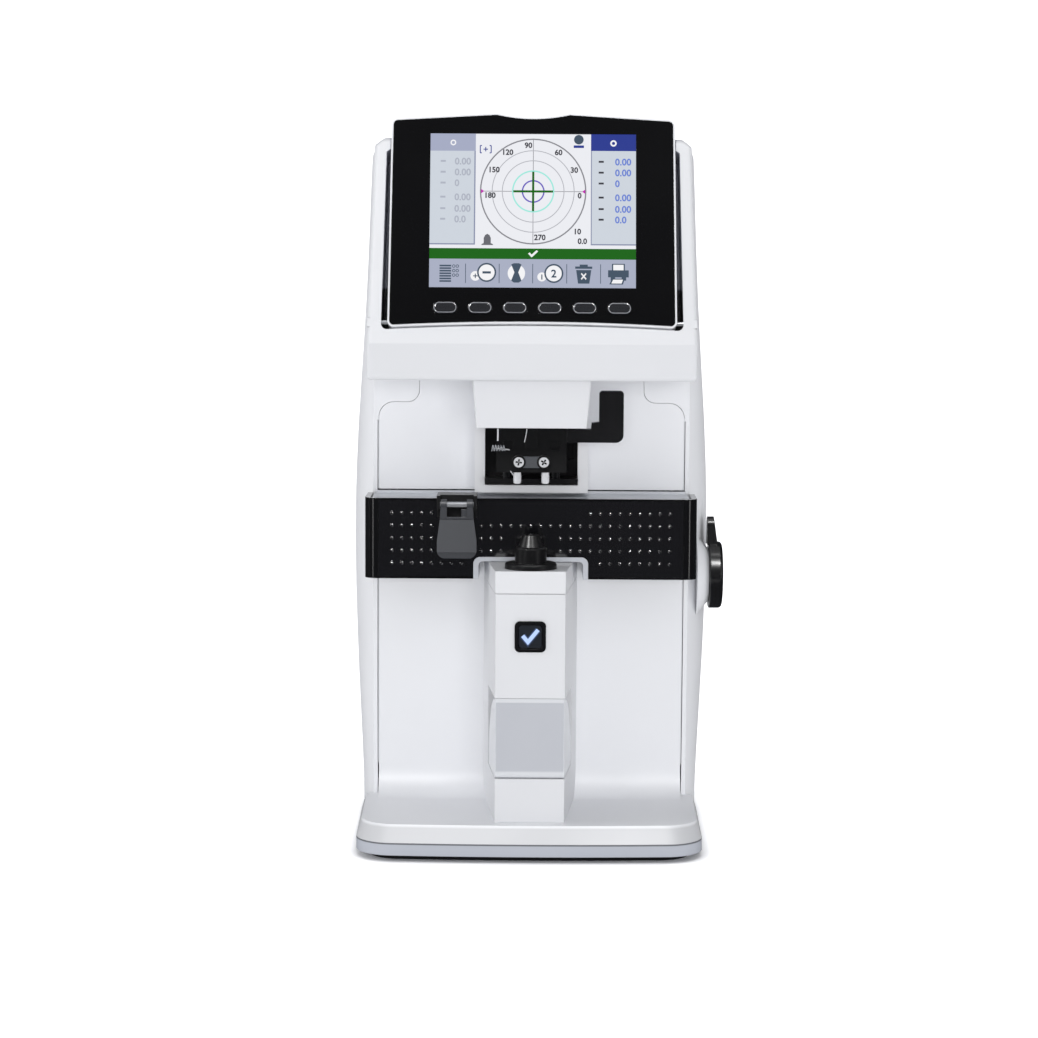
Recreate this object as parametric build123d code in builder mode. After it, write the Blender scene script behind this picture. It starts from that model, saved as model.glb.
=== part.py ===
from build123d import *
import os
from math import cos, pi, radians, sin, tan

os.makedirs("parts", exist_ok=True)

# Auto lensmeter, millimetres. X runs to the right, Y into the machine, Z up.
# The origin is on the table top, under the middle of the base.

# Heights and depths of the casing
foot_height = 3.5
pan_top = 10.7
deck_top = 20.3
wall_face = -23.0
wall_thickness = 3.0
casing_back = 118.0
casing_top = 404.5
base_front = -118.0
base_half_width = 98.5
panel_half_width = 89.95
step_half_width = 66.0
step_height = 254.3
seam = 0.2
panel_top = 283.8

# Band of the lens table between the lower and upper front panels
band_low = 152.6
band_high = 202.9

# Display: a plane leaning back, measured up from its lower front edge
lean = 13.8
screen_foot = (0, -108.0, 302.4)
screen_height = 117.0
screen_low_half = 79.5
screen_high_half = 78.4
window_half = 57.6
window_low = 21.4
window_high = 109.6
soft_key_pitch = 19.4
soft_key_height = 9.7
soft_key_size = (13.4, 6.7)
hinge_height = 2.0
hinge_depth = 3.4
hinge_pin_radius = 1.2

# Optical axis through the lens support, and the lens press above it
optic_y = -85.0
press_front = -80.5
press_screw_x = 7.15
press_screw_z = 224.0
press_pin_x = 8.0
press_pin_y = -78.0
rod_x = 14.0
rod_y = -56.0

# Lens table and its rack drive
table_half = 96.4
table_low = 154.0
table_high = 200.8
table_front = -58.0
table_back = -24.3
notch_half = 33.3
notch_top = 166.8
drive_y = 0.0
drive_z = 150.0
gear_module = 1.0
gear_teeth = 24
gear_radius = gear_module * gear_teeth / 2
rack_pitch_z = drive_z + gear_radius
guide_x = 60.0
guide_z = 178.0
bump_pitch = 5.75
bump_rows = (192.1, 184.9, 177.5, 170.3, 163.0)

# Nose rest that slides along the top edge of the table
slider_left = -54.2
slider_right = -31.2
slider_pin_y = -66.0
slider_pin_z = 198.0
running_gap = 0.05

# Column under the lens support
column_front = -104.0
column_front_half = 19.8
column_back_half = 27.6
bin_low = 45.5
bin_high = 91.7
column_seam = 151.2
column_top = 163.8
key_z = 127.1

# Hand wheel on the right side
wheel_radius = 20.0
wheel_inner = 106.8
wheel_outer = 114.7


def block(x, y, z, mode=Mode.ADD):
    """A box between two limits along each of X, Y and Z."""
    with Locations(((x[0] + x[1]) / 2, (y[0] + y[1]) / 2, (z[0] + z[1]) / 2)):
        Box(x[1] - x[0], y[1] - y[0], z[1] - z[0], mode=mode)


def upright(radius, x, y, z, mode=Mode.ADD):
    """A vertical cylinder at x, y between two heights."""
    with Locations((x, y, (z[0] + z[1]) / 2)):
        Cylinder(radius, z[1] - z[0], mode=mode)


def crosswise(radius, x, y, z, mode=Mode.ADD):
    """A cylinder along X at y, z between two places."""
    with Locations(Location(((x[0] + x[1]) / 2, y, z), (0, 90, 0))):
        Cylinder(radius, x[1] - x[0], mode=mode)


def lengthwise(radius, x, y, z, mode=Mode.ADD):
    """A cylinder along Y at x, z between two places."""
    with Locations(Location((x, (y[0] + y[1]) / 2, z), (90, 0, 0))):
        Cylinder(radius, y[1] - y[0], mode=mode)


def facing(y):
    """The upright plane at y that faces the user; extrusions run towards the user."""
    return Plane.XZ.offset(-y)


def keep(part, name):
    """Name a finished piece and write it."""
    part.label = name
    export_step(part, f"parts/{name}.step")


# Base

def base_plan(z, inset, front_extra=0):
    """Plan of the base: a bowed front edge, straight sides and round corners."""
    half = base_half_width - inset
    front = base_front + inset + front_extra
    rear_half = half + 1.8
    rear = casing_back - inset
    with BuildSketch(Plane.XY.offset(z)) as plan:
        with BuildLine():
            bow = ThreePointArc((-half, front + 4), (0, front), (half, front + 4))
            Polyline(bow @ 1, (rear_half, -20), (rear_half, rear), (-rear_half, rear), (-rear_half, -20), bow @ 0)
        make_face()
        fillet(plan.vertices().group_by(Axis.Y)[0], 22 - inset / 2)
        fillet(plan.vertices().group_by(Axis.Y)[-1], 30 - inset / 2)
    return plan.sketch


with BuildPart() as foot_ring:
    extrude(base_plan(0, 7), amount=foot_height)
    extrude(base_plan(0, 19), amount=foot_height, mode=Mode.SUBTRACT)
keep(foot_ring.part, "foot_ring")

with BuildPart() as base_pan:
    extrude(base_plan(foot_height, 0), amount=pan_top - foot_height)
    extrude(base_plan(foot_height + 2.5, 3), amount=pan_top, mode=Mode.SUBTRACT)
keep(base_pan.part, "base_pan")

deck_sweep = 18.0


def sweep_profile():
    """Side view of the hollow curve that leads the deck up into the front wall."""
    with BuildSketch(Plane.YZ) as profile:
        with BuildLine():
            corner = (wall_face + wall_thickness - 0.5, deck_top - 0.5)
            foot = (wall_face - deck_sweep, deck_top)
            head = (wall_face, deck_top + deck_sweep)
            rise = RadiusArc(foot, head, -deck_sweep)
            Polyline(rise @ 1, (corner[0], head[1]), corner, (foot[0], corner[1]), rise @ 0)
        make_face()
    return profile.sketch


with BuildPart() as front_cover:
    loft([base_plan(pan_top, 0), base_plan(deck_top, 3, 3)], ruled=True)
    room = [base_plan(pan_top, 3), base_plan(deck_top - wall_thickness, 5.4, 2.6)]
    loft(room, ruled=True, mode=Mode.SUBTRACT)
    block((-150, 150), (wall_face + wall_thickness, 150), (0, 50), Mode.SUBTRACT)
    for side in (-1, 1):
        outer_side = sorted((side * (panel_half_width + seam), side * 150))
        block(outer_side, (wall_face, 0), (0, 50), Mode.SUBTRACT)
    block((-panel_half_width, panel_half_width), (wall_face, wall_face + wall_thickness), (deck_top - 1, band_low))
    # tongue that closes the view through the notch of the table
    block((-33, 33), (wall_face, wall_face + wall_thickness), (band_low - 1, 166))
    extrude(sweep_profile(), amount=panel_half_width, both=True)
    block((-18, 18), (wall_face - 1, 0), (60, 140), Mode.SUBTRACT)
keep(front_cover.part, "front_cover")

with BuildPart() as upper_panel:
    with BuildSketch(facing(wall_face + wall_thickness)) as panel:
        with BuildLine():
            Polyline(
                (-panel_half_width, band_high), (panel_half_width, band_high),
                (panel_half_width, step_height), (step_half_width, step_height),
                (step_half_width, panel_top), (-step_half_width, panel_top),
                (-step_half_width, step_height), (-panel_half_width, step_height), close=True,
            )
        make_face()
        outer_corners = panel.vertices().filter_by(lambda v: abs(v.X) > 80 and v.Y > step_height - 1)
        fillet(outer_corners, 9)
        inner_corners = panel.vertices().filter_by(lambda v: abs(abs(v.X) - step_half_width) < 0.1 and v.Y < 260)
        fillet(inner_corners, 7)
    extrude(amount=wall_thickness)
    block((-26, 26), (wall_face - 1, 0), (band_high - 1, 272), Mode.SUBTRACT)
keep(upper_panel.part, "upper_panel")

# Casing

casing_sections = (
    (pan_top, 93.2, 101.0),
    (60, 93.2, 103.6),
    (120, 93.2, 106.4),
    (185, 93.2, 107.2),
    (240, 93.2, 105.2),
    (290, 92.6, 101.5),
    (345, 91.2, 97.6),
    (410, 89.6, 92.6),
)


def casing_body(inset):
    """The main casing as a solid, drawn in by inset on the sides, back and top."""
    front = wall_face - inset / 3
    with BuildPart() as body:
        for height, front_half, wide_half in casing_sections:
            back = casing_back - inset
            low = height - inset * (height == pan_top)
            with BuildSketch(Plane.XY.offset(low)):
                with BuildLine():
                    front_edge = Line((-front_half + inset, front), (front_half - inset, front))
                    flank = Spline(
                        front_edge @ 1, (wide_half - inset, 30), (wide_half - inset - 5, 88),
                        (wide_half - 32, back), tangents=((0.55, 1), (-1, 0)),
                    )
                    mirror(flank, about=Plane.YZ)
                    Line(flank @ 1, (32 - wide_half, back))
                make_face()
        loft()
        with BuildSketch(Plane.YZ):
            with BuildLine():
                roof = casing_top - inset
                rear = casing_back - inset
                Polyline((rear + 1, 330), (rear + 1, -10), (-60, -10), (-60, roof), (wall_face, roof), (40, roof - 4))
                Spline((40, roof - 4), (92, roof - 24), (rear + 1, 330), tangents=((1, -0.06), (0.05, -1)))
            make_face()
        extrude(amount=140, both=True, mode=Mode.INTERSECT)
    return body.part


casing_solid = casing_body(0)
casing_room = casing_body(wall_thickness)
roof_round = 6.0
boss_end = wheel_inner - 0.3

with BuildPart() as main_casing:
    add(casing_solid)
    rim = main_casing.edges().filter_by(
        lambda e: abs(e.center().X) > 60 and e.center().Z > 330 and e.center().Y > wall_face + 1
    )
    fillet(rim, roof_round)
    add(casing_room, mode=Mode.SUBTRACT)
    for side in (-1, 1):
        # shoulder beside the stepped corner of the front panel
        with BuildSketch(facing(wall_face + wall_thickness)) as shoulder:
            with Locations((side * (step_half_width + seam + 12.4), (step_height + seam + panel_top) / 2)):
                Rectangle(24.8, panel_top - step_height - seam)
            with Locations((side * 85.5, (step_height + 244) / 2)):
                Rectangle(11, step_height - 244 + 2 * seam)
            inner = shoulder.vertices().filter_by(lambda v: abs(abs(v.X) - step_half_width - seam) < 0.1)
            fillet(inner.sort_by(Axis.Y)[0], 7)
        extrude(amount=wall_thickness)
    with BuildSketch(facing(wall_face + wall_thickness + 0.01)) as panel_room:
        with Locations((0, (band_high + step_height) / 2)):
            Rectangle(2 * (panel_half_width + seam), step_height - band_high + 2 * seam)
        fillet(panel_room.vertices().group_by(Axis.Y)[-1], 9)
    extrude(amount=wall_thickness + 1, mode=Mode.SUBTRACT)
    # boss for the hand wheel, with the hole for its shaft
    with Locations(Location(((99 + boss_end) / 2, drive_y, drive_z), (0, 90, 0))):
        Cone(25, 16, boss_end - 99)
    crosswise(4.6, (90, 120), drive_y, drive_z, Mode.SUBTRACT)
    # back: recess for the socket panel, and ventilation slots
    block((-62, 62), (casing_back - 8, casing_back + 5), (32, 112), Mode.SUBTRACT)
    for row in range(8):
        for side in (-1, 1):
            with Locations((side * 32, casing_back, 236 + 8 * row)):
                Box(46, 12, 3, mode=Mode.SUBTRACT)
keep(main_casing.part, "main_casing")

hood_bottom = 271.6
hood_front = -108.6
hood_crease = 292.0
hood_back = wall_face
hood_low_half = 92.3
hood_high_half = 89.2


def hood_body(inset):
    """The head cover as a solid, drawn in by inset on every side but the back."""
    front = hood_front + inset
    roof = 406.5 - inset
    face_top = front + (roof - hood_crease) * tan(radians(lean))
    back = hood_back + (1 if inset else 0)
    with BuildPart() as body:
        with BuildSketch(Plane.YZ) as side_view:
            with BuildLine():
                Polyline(
                    (front, hood_bottom + inset), (front, hood_crease), (face_top, roof),
                    (back, roof - 2), (back, hood_bottom + inset), close=True,
                )
            make_face()
            corners = side_view.vertices().filter_by(lambda v: v.X < back - 1)
            fillet(corners.group_by(Axis.Y)[0], 3)
            corners = side_view.vertices().filter_by(lambda v: v.X < back - 1)
            fillet(corners.group_by(Axis.Y)[-1], 4)
        extrude(amount=120, both=True)
        with BuildSketch(Plane.XZ) as front_view:
            with BuildLine():
                low, high = hood_low_half - inset, hood_high_half - inset
                Polyline(
                    (-low, hood_bottom - 5), (low, hood_bottom - 5), (low, hood_crease),
                    (high, roof - 4.4), (high - 6, roof + 0.2), (6 - high, roof + 0.2),
                    (-high, roof - 4.4), (-low, hood_crease), close=True,
                )
            make_face()
        extrude(amount=150, both=True, mode=Mode.INTERSECT)
    return body.part


screen = Plane(
    origin=screen_foot, x_dir=(1, 0, 0),
    z_dir=(0, -cos(radians(lean)), sin(radians(lean))),
)


def screen_point(x, height, depth):
    """A place given across the screen, up the screen and behind its front."""
    return screen.from_local_coords((x, height, -depth))


hinge_place = screen_point(0, hinge_height, hinge_depth)


pocket_floor = -1.56


def pocket_outline(depth, grow, floor=pocket_floor):
    """The recess that the display lies in: slots at its sides that end below the top."""
    with BuildSketch(screen.offset(-depth)) as outline:
        with BuildLine():
            half_low, half_high, neck = 84.2 + grow, 82.2 + grow, 80.0 + grow
            low, slot_top = floor - grow, 99.5 + grow
            sill = ThreePointArc((-half_low, low), (0, low + 2.51), (half_low, low))
            Polyline(
                sill @ 1, (half_high, slot_top), (neck, slot_top + 1.5), (neck, 135),
                (-neck, 135), (-neck, slot_top + 1.5), (-half_high, slot_top), sill @ 0,
            )
        make_face()
        lower_corners = outline.vertices().filter_by(lambda v: abs(v.X) > 84 and v.Y < 10)
        fillet(lower_corners, 3.2)
    return outline.sketch


hood_solid = hood_body(0)
hood_room = hood_body(2.6)

with BuildPart() as pocket_walls:
    extrude(pocket_outline(1.9, 2.4), amount=-25.5)
    add(hood_solid, mode=Mode.INTERSECT)

with BuildPart() as hood:
    add(hood_solid)
    side_edges = hood.edges().filter_by(lambda e: abs(e.center().X) > 80 and e.center().Y < hood_back - 0.5)
    fillet(side_edges, 2.4)
    add(hood_room, mode=Mode.SUBTRACT)
    add(pocket_walls.part)
    extrude(pocket_outline(-6, 0), amount=-31, mode=Mode.SUBTRACT)
    # the edge under the display slopes away, so that the display can tip forward
    loft([pocket_outline(1, 0, pocket_floor - 1.1), pocket_outline(3.9, 0)], ruled=True, mode=Mode.SUBTRACT)
    block((-35, 35), (-101.5, hood_back + 2), (hood_bottom - 1, hood_bottom + 4), Mode.SUBTRACT)
    crosswise(hinge_pin_radius, (-95, 95), hinge_place.Y, hinge_place.Z, Mode.SUBTRACT)
    for side in (-1, 1):
        # the pin hole stays inside the wall of the recess
        outside = sorted((side * 87.5, side * 100))
        block(outside, (hinge_place.Y - 2.6, hinge_place.Y + 2), (hinge_place.Z - 2.4, hinge_place.Z + 2.4))
    add(hood_solid, mode=Mode.INTERSECT)
keep(hood.part, "hood")

with BuildPart() as display_pins:
    for side in (-1, 1):
        crosswise(hinge_pin_radius, sorted((side * 71, side * 87.4)), hinge_place.Y, hinge_place.Z)
keep(display_pins.part, "display_pins")

# Display

def display_outline(depth, grow, corner):
    """Front view of the display: lower edge bowed, two shallow peaks and a dip at the top."""
    low_half, high_half = screen_low_half + grow, screen_high_half + grow
    floor, shoulder = -grow, screen_height + grow
    with BuildSketch(screen.offset(-depth)) as outline:
        with BuildLine():
            low = ThreePointArc((-low_half, floor), (0, floor + 2.3), (low_half, floor))
            dip = ThreePointArc((20.5, shoulder + 3.5), (0, shoulder + 1.1), (-20.5, shoulder + 3.5))
            Polyline(low @ 1, (high_half, shoulder), dip @ 0)
            Polyline(dip @ 1, (-high_half, shoulder), low @ 0)
        make_face()
        fillet(outline.vertices().filter_by(lambda v: abs(v.X) > 70), corner)
    return outline.sketch


with BuildPart() as display_housing:
    extrude(display_outline(0.2, 1.1, 3.4), amount=-20)
    extrude(display_outline(1.6, -1.4, 1.5), amount=-16, mode=Mode.SUBTRACT)
    extrude(display_outline(-1, 0.05, 2.4), amount=-2.6, mode=Mode.SUBTRACT)
    for side in (-1, 1):
        with BuildSketch(screen.offset(-1.7)):
            with Locations((side * 74.4, 5.2)):
                Rectangle(9.4, 9.4)
        extrude(amount=-8)
    crosswise(hinge_pin_radius + running_gap, (-90, 90), hinge_place.Y, hinge_place.Z, Mode.SUBTRACT)
keep(display_housing.part, "display_housing")

soft_key_x = [soft_key_pitch * (i - 2.5) for i in range(6)]

with BuildPart() as display_front:
    extrude(display_outline(-0.4, 0, 2.4), amount=-1.9)
    with BuildSketch(screen.offset(1)):
        with Locations((0, (window_low + window_high) / 2)):
            Rectangle(2 * window_half, window_high - window_low)
        with Locations([(x, soft_key_height) for x in soft_key_x]):
            SlotOverall(soft_key_size[0] + 0.6, soft_key_size[1] + 0.6)
    extrude(amount=-4, mode=Mode.SUBTRACT)
keep(display_front.part, "display_front")

with BuildPart() as lcd_panel:
    with BuildSketch(screen.offset(-1.6)):
        with Locations((0, (window_low + window_high) / 2)):
            Rectangle(2 * window_half + 8, window_high - window_low + 5)
    extrude(amount=-5.5)
    with BuildSketch(screen.offset(-0.1)):
        with Locations((0, (window_low + window_high) / 2)):
            Rectangle(2 * window_half - 0.2, window_high - window_low - 0.2)
    extrude(amount=-1.6)
keep(lcd_panel.part, "lcd_panel")

with BuildPart() as key_board:
    with BuildSketch(screen.offset(-4.8)):
        with Locations((0, soft_key_height + 0.6)):
            Rectangle(124, 12)
    extrude(amount=-1.6)
    with BuildSketch(screen.offset(-6.4)):
        with Locations((0, soft_key_height)):
            Rectangle(20, 9)
    extrude(amount=-4)
keep(key_board.part, "key_board")

for number, x in enumerate(soft_key_x, start=1):
    with BuildPart() as soft_key:
        with BuildSketch(screen.offset(1.7)):
            with Locations((x, soft_key_height)):
                SlotOverall(*soft_key_size)
        extrude(amount=-5)
        fillet(soft_key.faces().sort_by(Axis.Y)[0].edges(), 0.8)
        with BuildSketch(screen.offset(-1.6)):
            with Locations((x, soft_key_height)):
                SlotOverall(soft_key_size[0] + 2, soft_key_size[1] + 1.6)
        extrude(amount=-0.9)
    keep(soft_key.part, f"soft_key_{number}")

# Head: what hangs in front of the casing under the hood

nose_low = 244.6
nose_high = 283.8
nose_front = -100.0
nose_back = -45.0
bracket_low = 284.0
guide_foot = (209.3, 212.6)

with BuildPart() as nose_cover:
    for inset, mode in ((0, Mode.ADD), (2.2, Mode.SUBTRACT)):
        with BuildSketch(facing(nose_back)):
            with BuildLine():
                low, high = 31 - inset, 34.4 - inset
                roof, sill = nose_high + inset, nose_low - inset
                Polyline((-low, sill), (low, sill), (high, roof), (-high, roof), close=True)
            make_face()
        extrude(amount=nose_back - nose_front - inset, mode=mode)
    front_edges = nose_cover.edges().filter_by(Axis.Y, reverse=True).filter_by(
        lambda e: abs(e.center().Y - nose_front) < 0.1 and abs(e.center().X) > 20
    )
    fillet(front_edges, 1.0)
keep(nose_cover.part, "nose_cover")

with BuildPart() as nose_frame:
    block((-33, 33), (nose_back, wall_face), (band_high + 0.2, nose_high))
    block((-27, 27), (nose_back - 1, 0), (207.5, 272), Mode.SUBTRACT)
keep(nose_frame.part, "nose_frame")

with BuildPart() as head_bracket:
    block((-33, 33), (-99, 26), (bracket_low, bracket_low + 3))
    block((-33, -30), (-19, 26), (bracket_low - 24, bracket_low))
    block((30, 33), (-19, 26), (bracket_low - 24, bracket_low))
    upright(7, 0, optic_y, (bracket_low - 1, bracket_low + 4), Mode.SUBTRACT)
    for side in (-1, 1):
        upright(2.5, side * rod_x, rod_y, (bracket_low - 1, bracket_low + 4), Mode.SUBTRACT)
keep(head_bracket.part, "head_bracket")

with BuildPart() as press_rods:
    for side in (-1, 1):
        upright(2.5, side * rod_x, rod_y, (guide_foot[0], bracket_low + 3))
keep(press_rods.part, "press_rods")

with BuildPart() as press_guide:
    block((-26.9, 26.9), (-39, -35), (207.6, 271.9))
    block((-26.9, 26.9), (-60.5, -39), guide_foot)
    for side in (-1, 1):
        upright(2.5, side * rod_x, rod_y, (208.5, 214), Mode.SUBTRACT)
    lengthwise(3.5, 17.3, (-44, -39), 216.5)
    lengthwise(1.2, 17.3, (-45, -36), 216.5, Mode.SUBTRACT)
    block((21.5, 24.8), (-40, -36.5), (222, 231), Mode.SUBTRACT)
keep(press_guide.part, "press_guide")

with BuildPart() as lamp_housing:
    upright(9, 0, optic_y, (264, bracket_low))
    upright(6.5, 0, optic_y, (bracket_low, bracket_low + 5))
    upright(7, 0, optic_y, (263, 270), Mode.SUBTRACT)
    upright(5, 0, optic_y, (269, 281), Mode.SUBTRACT)
keep(lamp_housing.part, "lamp_housing")

# Lens press: slides down on the rods to hold a lens on its support

with BuildPart() as press_carriage:
    block((-20, 20), (press_front, -75), (218, 262))
    block((-20, 20), (-75, -48), (238, 262))
    for side in (-1, 1):
        upright(2.5 + running_gap, side * rod_x, rod_y, (230, 270), Mode.SUBTRACT)
        lengthwise(4.0, side * press_screw_x, (press_front - 1.2, press_front + 1), press_screw_z)
        lengthwise(1.45, side * press_screw_x, (press_front - 2, press_front + 0.8), press_screw_z, Mode.SUBTRACT)
        upright(2.35, side * press_pin_x, press_pin_y, (217, 221.3), Mode.SUBTRACT)
        upright(1.5 + running_gap, side * press_pin_x, press_pin_y, (220, 236), Mode.SUBTRACT)
        block(sorted((side * 10.5, side * 16)), (press_front - 1, press_front + 1), (231, 236), Mode.SUBTRACT)
    block((-3.5, 3.5), (press_front - 1.6, press_front), (231, 243))
keep(press_carriage.part, "press_carriage")

with BuildPart() as clamp_plate:
    block((-press_screw_x, press_screw_x), (press_front - 1.2, press_front), (220.7, 227.2))
    for side in (-1, 1):
        lengthwise(4.0, side * press_screw_x, (press_front - 2, press_front + 1), press_screw_z, Mode.SUBTRACT)
keep(clamp_plate.part, "clamp_plate")

with BuildPart() as clamp_screws:
    for side in (-1, 1):
        x = side * press_screw_x
        lengthwise(2.9, x, (press_front - 2.8, press_front - 1.2), press_screw_z)
        lengthwise(1.4, x, (press_front - 1.2, press_front + 0.7), press_screw_z)
        cross_turn = Location((x, press_front - 2.8, press_screw_z), (0, side * 12 + 20, 0))
        with Locations(cross_turn):
            Box(3.6, 1.6, 0.9, mode=Mode.SUBTRACT)
            Box(0.9, 1.6, 3.6, mode=Mode.SUBTRACT)
keep(clamp_screws.part, "clamp_screws")

with BuildPart() as press_lever:
    with BuildSketch(facing(-74.5)) as lever_view:
        with BuildLine():
            Polyline(
                (20, 235.2), (52.3, 235.2), (52.3, 264.7), (38.4, 264.7), (38.4, 247), (34.2, 246.5),
                (33.8, 243), (20, 243), close=True,
            )
        make_face()
        right = lever_view.vertices().filter_by(lambda v: v.X > 52)
        fillet(right.group_by(Axis.Y)[0], 4.5)
        fillet(lever_view.vertices().filter_by(lambda v: v.Y > 264), 2)
    extrude(amount=6)
keep(press_lever.part, "press_lever")

spring_wire = 0.35
spring_radius = 1.5
spring_pitch = 1.5
spring_turns = 5
coil = Helix(spring_pitch, spring_turns * spring_pitch, spring_radius)
with BuildPart() as hook_spring:
    with BuildSketch(Plane(origin=coil @ 0, z_dir=coil % 0)):
        Circle(spring_wire)
    sweep(path=coil, is_frenet=True)
spring_place = Location((-22.5, press_front - spring_radius - spring_wire, 232), (0, 90, 0))
keep(spring_place * hook_spring.part, "hook_spring")
print("least gap between the spring's turns, mm:", round(spring_pitch - 2 * spring_wire, 2))

for side, name in ((-1, "press_pin_left"), (1, "press_pin_right")):
    x = side * press_pin_x
    with BuildPart() as press_pin:
        upright(2.15, x, press_pin_y, (211.4, 217.9))
        chamfer(press_pin.edges().group_by(Axis.Z)[0], 0.6)
        upright(1.5, x, press_pin_y, (217.9, 231))
    keep(press_pin.part, name)

# Lens support and the measuring optics under it

with BuildPart() as lens_support:
    with BuildSketch(Plane.YZ):
        with BuildLine():
            Polyline(
                (3.2, 161.5), (14.8, 161.5), (14.8, 166.2), (14.1, 167), (9.1, 167), (9.1, 175.2),
                (8.4, 175.9), (7.3, 176.2), (4.8, 182.8), (3.2, 182.8), close=True,
            )
        make_face()
    revolve(axis=Axis.Z)
lens_support_part = Pos(0, optic_y, 0) * lens_support.part
keep(lens_support_part, "lens_support")

with BuildPart() as detector_barrel:
    upright(11, 0, optic_y, (104, 161.5))
    upright(8.6, 0, optic_y, (103, 162), Mode.SUBTRACT)
keep(detector_barrel.part, "detector_barrel")

with BuildPart() as lenses:
    for low, radius in ((264.2, 6.9), (148, 8.5), (124, 8.5)):
        upright(radius, 0, optic_y, (low, low + 2.4))
        upright(radius - 1.6, 0, optic_y, (low - 1.2, low + 3.6))
keep(lenses.part, "lenses")

with BuildPart() as sensor_board:
    block((-14, 14), (optic_y - 11, optic_y + 14), (101.4, 103))
    block((-6, 6), (optic_y - 6, optic_y + 6), (103, 105.4))
    block((-9, 9), (optic_y + 6.5, optic_y + 12.5), (97, 101.4))
keep(sensor_board.part, "sensor_board")

# Column

def column_plan(z, inset, front=column_front):
    """Plan of the column, wider towards the wall."""
    half_at_back = column_back_half - inset
    slope = (column_back_half - column_front_half) / (wall_face - column_front)
    half_at_front = half_at_back - slope * (wall_face - front - inset)
    with BuildSketch(Plane.XY.offset(z)) as plan:
        with BuildLine():
            Polyline(
                (-half_at_front, front + inset), (half_at_front, front + inset),
                (half_at_back, wall_face), (-half_at_back, wall_face), close=True,
            )
        make_face()
    return plan.sketch


bin_back = -57.0

with BuildPart() as column_cover:
    extrude(column_plan(deck_top, 0), amount=column_seam - deck_top)
    extrude(column_plan(deck_top, 2.6), amount=column_seam - deck_top, mode=Mode.SUBTRACT)
    extrude(column_plan(bin_low - 2, 1.3), amount=2)
    block((-40, 40), (-120, bin_back), (bin_low, bin_high), Mode.SUBTRACT)
    # rear wall of the bin bay, and its ceiling
    block((-24, 24), (bin_back, bin_back + 2), (bin_low - 1, bin_high + 2))
    block((-20, 20), (-101.5, bin_back + 2), (bin_high, bin_high + 2))
    add(front_cover.part, mode=Mode.SUBTRACT)
    with BuildSketch(facing(-100)) as key_hole:
        with Locations((0, key_z)):
            RectangleRounded(16, 16, 2)
    extrude(amount=6, mode=Mode.SUBTRACT)
keep(column_cover.part, "column_cover")

with BuildPart() as column_cap:
    extrude(column_plan(column_seam + 0.2, 0), amount=column_top - column_seam - 0.2)
    extrude(column_plan(column_seam, 2.6, -101), amount=column_top - column_seam - 2.6, mode=Mode.SUBTRACT)
    with BuildSketch(Plane.YZ):
        with BuildLine():
            Polyline((-106, column_seam), (column_front, column_seam), (-100.9, column_top + 1), (-106, column_top + 1),
                     close=True)
        make_face()
    extrude(amount=40, both=True, mode=Mode.SUBTRACT)
    upright(15, 0, optic_y, (161.4, column_top + 1), Mode.SUBTRACT)
    upright(11.2, 0, optic_y, (column_seam, column_top + 1), Mode.SUBTRACT)
keep(column_cap.part, "column_cap")

with BuildPart() as key_bezel:
    with BuildSketch(facing(column_front)) as bezel_view:
        with Locations((0, key_z)):
            RectangleRounded(17.7, 17.7, 3)
            RectangleRounded(13.6, 13.6, 2.1, mode=Mode.SUBTRACT)
    extrude(amount=0.9)
    with BuildSketch(facing(-99.6)):
        with Locations((0, key_z)):
            RectangleRounded(15.8, 15.8, 2)
            RectangleRounded(13.6, 13.6, 2.1, mode=Mode.SUBTRACT)
    extrude(amount=-99.6 - column_front)
    block((-7.9, 7.9), (-99.6, -98), (key_z - 7.9, key_z + 7.9))
keep(key_bezel.part, "key_bezel")

with BuildPart() as confirm_key:
    with BuildSketch(facing(-101.4)):
        with Locations((0, key_z)):
            RectangleRounded(13.2, 13.2, 2)
    extrude(amount=-101.4 - column_front + 0.5)
    fillet(confirm_key.faces().sort_by(Axis.Y)[0].edges(), 0.5)
keep(confirm_key.part, "confirm_key")

bin_round = 2.6
bin_pivot_y = column_front + 0.1 + bin_round
bin_pivot_z = bin_low + 0.2 + bin_round
bin_reach = 42.0

with BuildPart() as accessory_bin:
    extrude(column_plan(bin_low + 0.2, 0.3, column_front - 0.2), amount=bin_high - bin_low - 0.4)
    extrude(column_plan(bin_low + 2, 2.2, column_front - 0.2), amount=60, mode=Mode.SUBTRACT)
    with BuildSketch(Plane.YZ):
        with Locations((bin_pivot_y, bin_pivot_z)):
            Circle(bin_reach)
        with Locations((column_front, bin_high)):
            Rectangle(9, 100)
    extrude(amount=40, both=True, mode=Mode.INTERSECT)
    heel = accessory_bin.edges().filter_by(Axis.X).filter_by(lambda e: e.center().Z < bin_low + 1)
    fillet(heel.sort_by(Axis.Y)[0], bin_round)
keep(accessory_bin.part, "accessory_bin")

# Lens table

table_wall = 3.2
pad_thickness = 1.5
pad_half = 88.4
tail_half = 84.0
tail_back = 20.0


def notch_outline(half, top, radius):
    """Front view of the notch in the table that clears the lens support."""
    with BuildSketch(facing(-20)) as notch:
        with Locations((0, (top + table_low - 10) / 2)):
            Rectangle(2 * half, top - table_low + 10)
        fillet(notch.vertices().group_by(Axis.Y)[-1], radius)
    return notch.sketch


ledge = table_high - table_wall
plate_front = -55.4
plate_half = 92.1
room_front = table_front + pad_thickness + table_wall

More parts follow.
